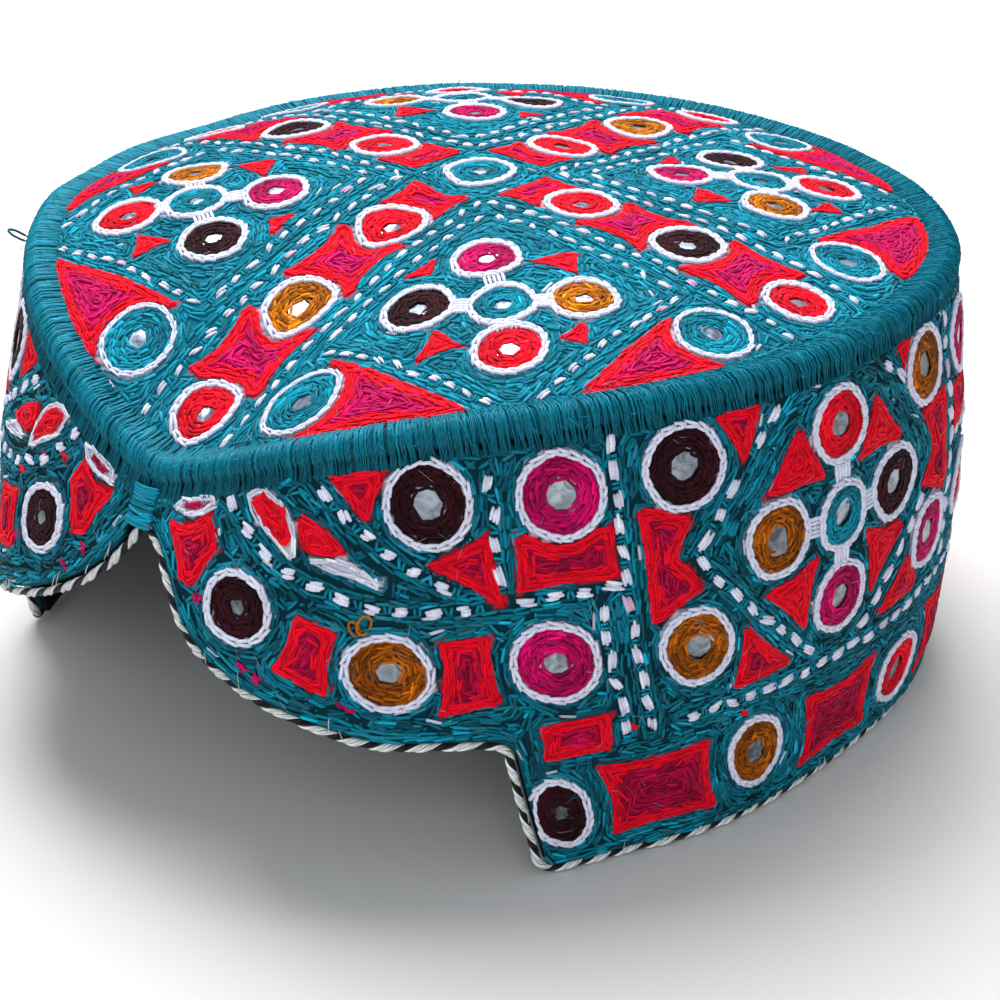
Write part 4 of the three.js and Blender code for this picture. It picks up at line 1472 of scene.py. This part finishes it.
def make_seam():
    """The stitched bar over the front joint: a padded core under close satin threads."""
    low = float(whole_edge()[0, 1]) + CORD_RADIUS + GAP
    high = float(wall_top(np.array(0.0)))
    side = SEAM_WIDTH / 2
    across, up = np.meshgrid(np.linspace(-side, side, 13), np.linspace(low, high, 9), indexing="ij")
    puff = 0.75 * (1 - (across / side) ** 2)
    face = band_surface(across / RIM_MM_PER_DEG, up, puff)
    back = band_surface(across / RIM_MM_PER_DEG, up, -CLOTH_THICKNESS + 0 * puff)[:, ::-1]
    piece = strip_piece("seam_core", np.concatenate([face, back], axis=1))
    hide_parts("front_seam")
    rows = 44
    shares = np.linspace(-1, 1, 9)[None]
    level = np.repeat(np.linspace(low - 0.6, high + 1.2, rows // 2), 2) + rng.normal(0, 0.12, rows)
    wide = (side * (1.15 + rng.normal(0, 0.08, rows)))[:, None] * shares
    level = level[:, None] + rng.normal(0, 0.25, rows)[:, None] * shares
    spots = np.stack([wide / RIM_MM_PER_DEG * CHART_MM_PER_DEG, level], -1)
    lift = 0.15 + 0.95 * (1 - shares ** 2) + rng.normal(0, 0.06, (rows, 1))
    width = 0.5 + rng.normal(0, 0.06, rows)
    threads = tube_parts(band_place(spots, lift), normals_of(band_place, spots), width, height=0.5,
                         colours=tinted(TEAL, rows, 0.3), sides=5)
    piece = mesh_piece("seam_satin", threads, SATIN)


def make_cord():
    """Silver and black strands, twisted together along the whole edge."""
    edge = whole_edge()
    route = band_surface(signed_angle(edge[:, 0]), edge[:, 1], -CLOTH_THICKNESS / 2)
    loop = np.vstack([route, route[:1]])
    run = np.concatenate([[0], np.cumsum(np.linalg.norm(np.diff(loop, axis=0), axis=1))])
    steps, pitch, whip_pitch = 900, 6.4, 1.3
    marks = np.linspace(0, run[-1], steps)
    centre = np.stack([np.interp(marks, run, loop[:, k]) for k in range(3)], -1)
    along = unit(np.gradient(centre, axis=0))
    out = centre - (0, CROWN_Y, 0)
    out[:, 2] = 0
    across = unit(np.cross(unit(out), along))
    side = np.cross(along, across)
    strands = (
        {"phase": 0.0, "radius": 0.52, "width": 0.92, "colour": SILVER},
        {"phase": 0.3, "radius": 0.48, "width": 0.9, "colour": SILVER},
        {"phase": 0.56, "radius": 0.42, "width": 0.74, "colour": BLACK},
        {"phase": 0.8, "radius": 0.42, "width": 0.7, "colour": BLACK},
    )
    parts = []
    for strand in strands:
        turn = 2 * np.pi * (marks / pitch + strand["phase"]) + 0.7 * np.sin(marks * 0.21)
        slack = strand["radius"] + 0.1 * np.sin(marks * 0.83 + 40 * strand["phase"]) * np.sin(marks * 0.31)
        path = centre + (side * np.cos(turn)[:, None] + across * np.sin(turn)[:, None]) * slack[:, None]
        parts.append(tube_parts(path[None], unit(path - centre)[None], width=strand["width"],
                                height=strand["width"] * 0.85, colours=[strand["colour"]], sides=6))
    piece = mesh_piece("edge_cord_strands", joined(parts), CORD)
    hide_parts("edge_cord")
    spots = np.arange(0, run[-1], whip_pitch)
    sewn = inset_edge(edge, CORD_RADIUS * 0.4)
    loose = np.stack([np.interp(spots, run[:-1], column) for column in sewn.T], -1)
    angle = signed_angle(loose[:, 0])
    left_lobe = (angle > -STEP_ANGLE) & (angle < -3)
    chosen = rng.random(len(loose)) < np.where(left_lobe, 0.45, 0.08)
    starts = np.stack([angle * CHART_MM_PER_DEG, chart_height(angle, loose[:, 1])], -1)[chosen]
    count = len(starts)
    ends = starts + np.stack([rng.normal(0, 0.6, count), rng.uniform(1.8, 4.2, count)], -1)
    whip = stitches(band_place, starts, ends, FINE, width=0.2, height=0.2, lift=0.45,
                    colours=tinted(SILVER, count, 0.15), arch=0.2)
    piece = mesh_piece("edge_whip_stitches", whip, CORD)


def make_loops():
    """Loose ends of thread: ochre ones above a ring of the front lobe, and a teal one on the roll."""
    turn = np.linspace(-0.4 * np.pi, 1.7 * np.pi, 14)
    middle = 30.0 * CHART_MM_PER_DEG
    spots = np.array([
        np.stack([middle + across + size * 0.8 * np.cos(turn), up + size * 1.15 * np.sin(turn + lean)], -1)
        for across, up, size, lean in ((-2.8, 51.9, 1.35, 0.35), (-4.3, 51.2, 1.05, -0.5))
    ])
    lift = 0.7 + 0.5 * np.sin(turn / 2)[None] + np.zeros((len(spots), 1))
    ochre = tube_parts(band_place(spots, lift), normals_of(band_place, spots), width=0.45, height=0.45,
                       colours=tinted(COLOURS["ochre"], len(spots), 0.1), sides=5)
    steps = np.linspace(0, 1, 14)
    angle = (-46.0 + 3.4 * (steps - 0.5) * (0.5 + np.sin(np.pi * steps))) % 360
    path = roll_point(angle, 24 + 10 * steps, ROLL_RADIUS + 4.2 * np.sin(np.pi * steps))[None]
    teal = tube_parts(path, unit(path - (0, CROWN_Y, 60)), width=0.5, height=0.5,
                      colours=tinted(TEAL_DEEP, 1, 0.1), sides=5)
    piece = mesh_piece("loose_loops", joined([ochre, teal]), THREAD)


# Stage

def make_stage():
    bpy.ops.mesh.primitive_plane_add(size=30.0, location=(0, 0, -0.0002))
    floor = bpy.context.object
    floor.name = "floor"
    material = bpy.data.materials.new("pale_floor")
    material.use_nodes = True
    shader = material.node_tree.nodes["Principled BSDF"]
    shader.inputs["Base Color"].default_value = (0.62, 0.61, 0.6, 1)
    shader.inputs["Roughness"].default_value = 0.8
    floor.data.materials.append(material)


def make_light(name, place, target, size, power, colour):
    light = bpy.data.lights.new(name, "AREA")
    light.size = size
    light.energy = power
    light.color = colour
    lamp = bpy.data.objects.new(name, light)
    lamp.location = place
    toward = np.array(target) - np.array(place)
    heading = math.atan2(toward[1], toward[0])
    dip = math.atan2(math.hypot(toward[0], toward[1]), -toward[2])
    lamp.rotation_euler = (dip, 0, heading - math.pi / 2)
    bpy.context.scene.collection.objects.link(lamp)


def make_lights():
    make_light("key", place=(-0.35, 0.25, 0.95), target=(0, 0, 0.05), size=0.7, power=18.0,
               colour=(1.0, 0.99, 0.97))
    make_light("fill", place=(0.55, -0.75, 0.45), target=(0, 0, 0.04), size=0.9, power=4.4,
               colour=(0.93, 0.97, 1.0))
    world = bpy.data.worlds.new("studio")
    world.use_nodes = True
    backdrop = world.node_tree.nodes["Background"]
    backdrop.inputs["Color"].default_value = (0.9, 0.95, 1.0, 1)
    backdrop.inputs["Strength"].default_value = 0.55
    bpy.context.scene.world = world


def make_camera():
    """Placed as the photograph's perspective says: 90 mm lens, 27 degrees down, 40 to the side."""
    data = bpy.data.cameras.new("camera")
    data.lens = 90.0
    data.sensor_width = 36.0
    data.clip_start = 0.01
    camera = bpy.data.objects.new("camera", data)
    camera.location = (0.2962, -0.3410 + CROWN_Y * 0.001, 0.2600)
    camera.rotation_euler = (math.radians(62.7), 0, math.radians(40.5))
    bpy.context.scene.collection.objects.link(camera)
    bpy.context.scene.camera = camera


make_camera()
make_crown_cloth()
make_band_cloth()
make_lining()
make_roll()
make_seam()
make_cord()
make_loops()
embroider(CROWN_SHEET)
embroider(BAND_SHEET)
make_stage()
make_lights()
bpy.context.scene.view_settings.view_transform = "Standard"
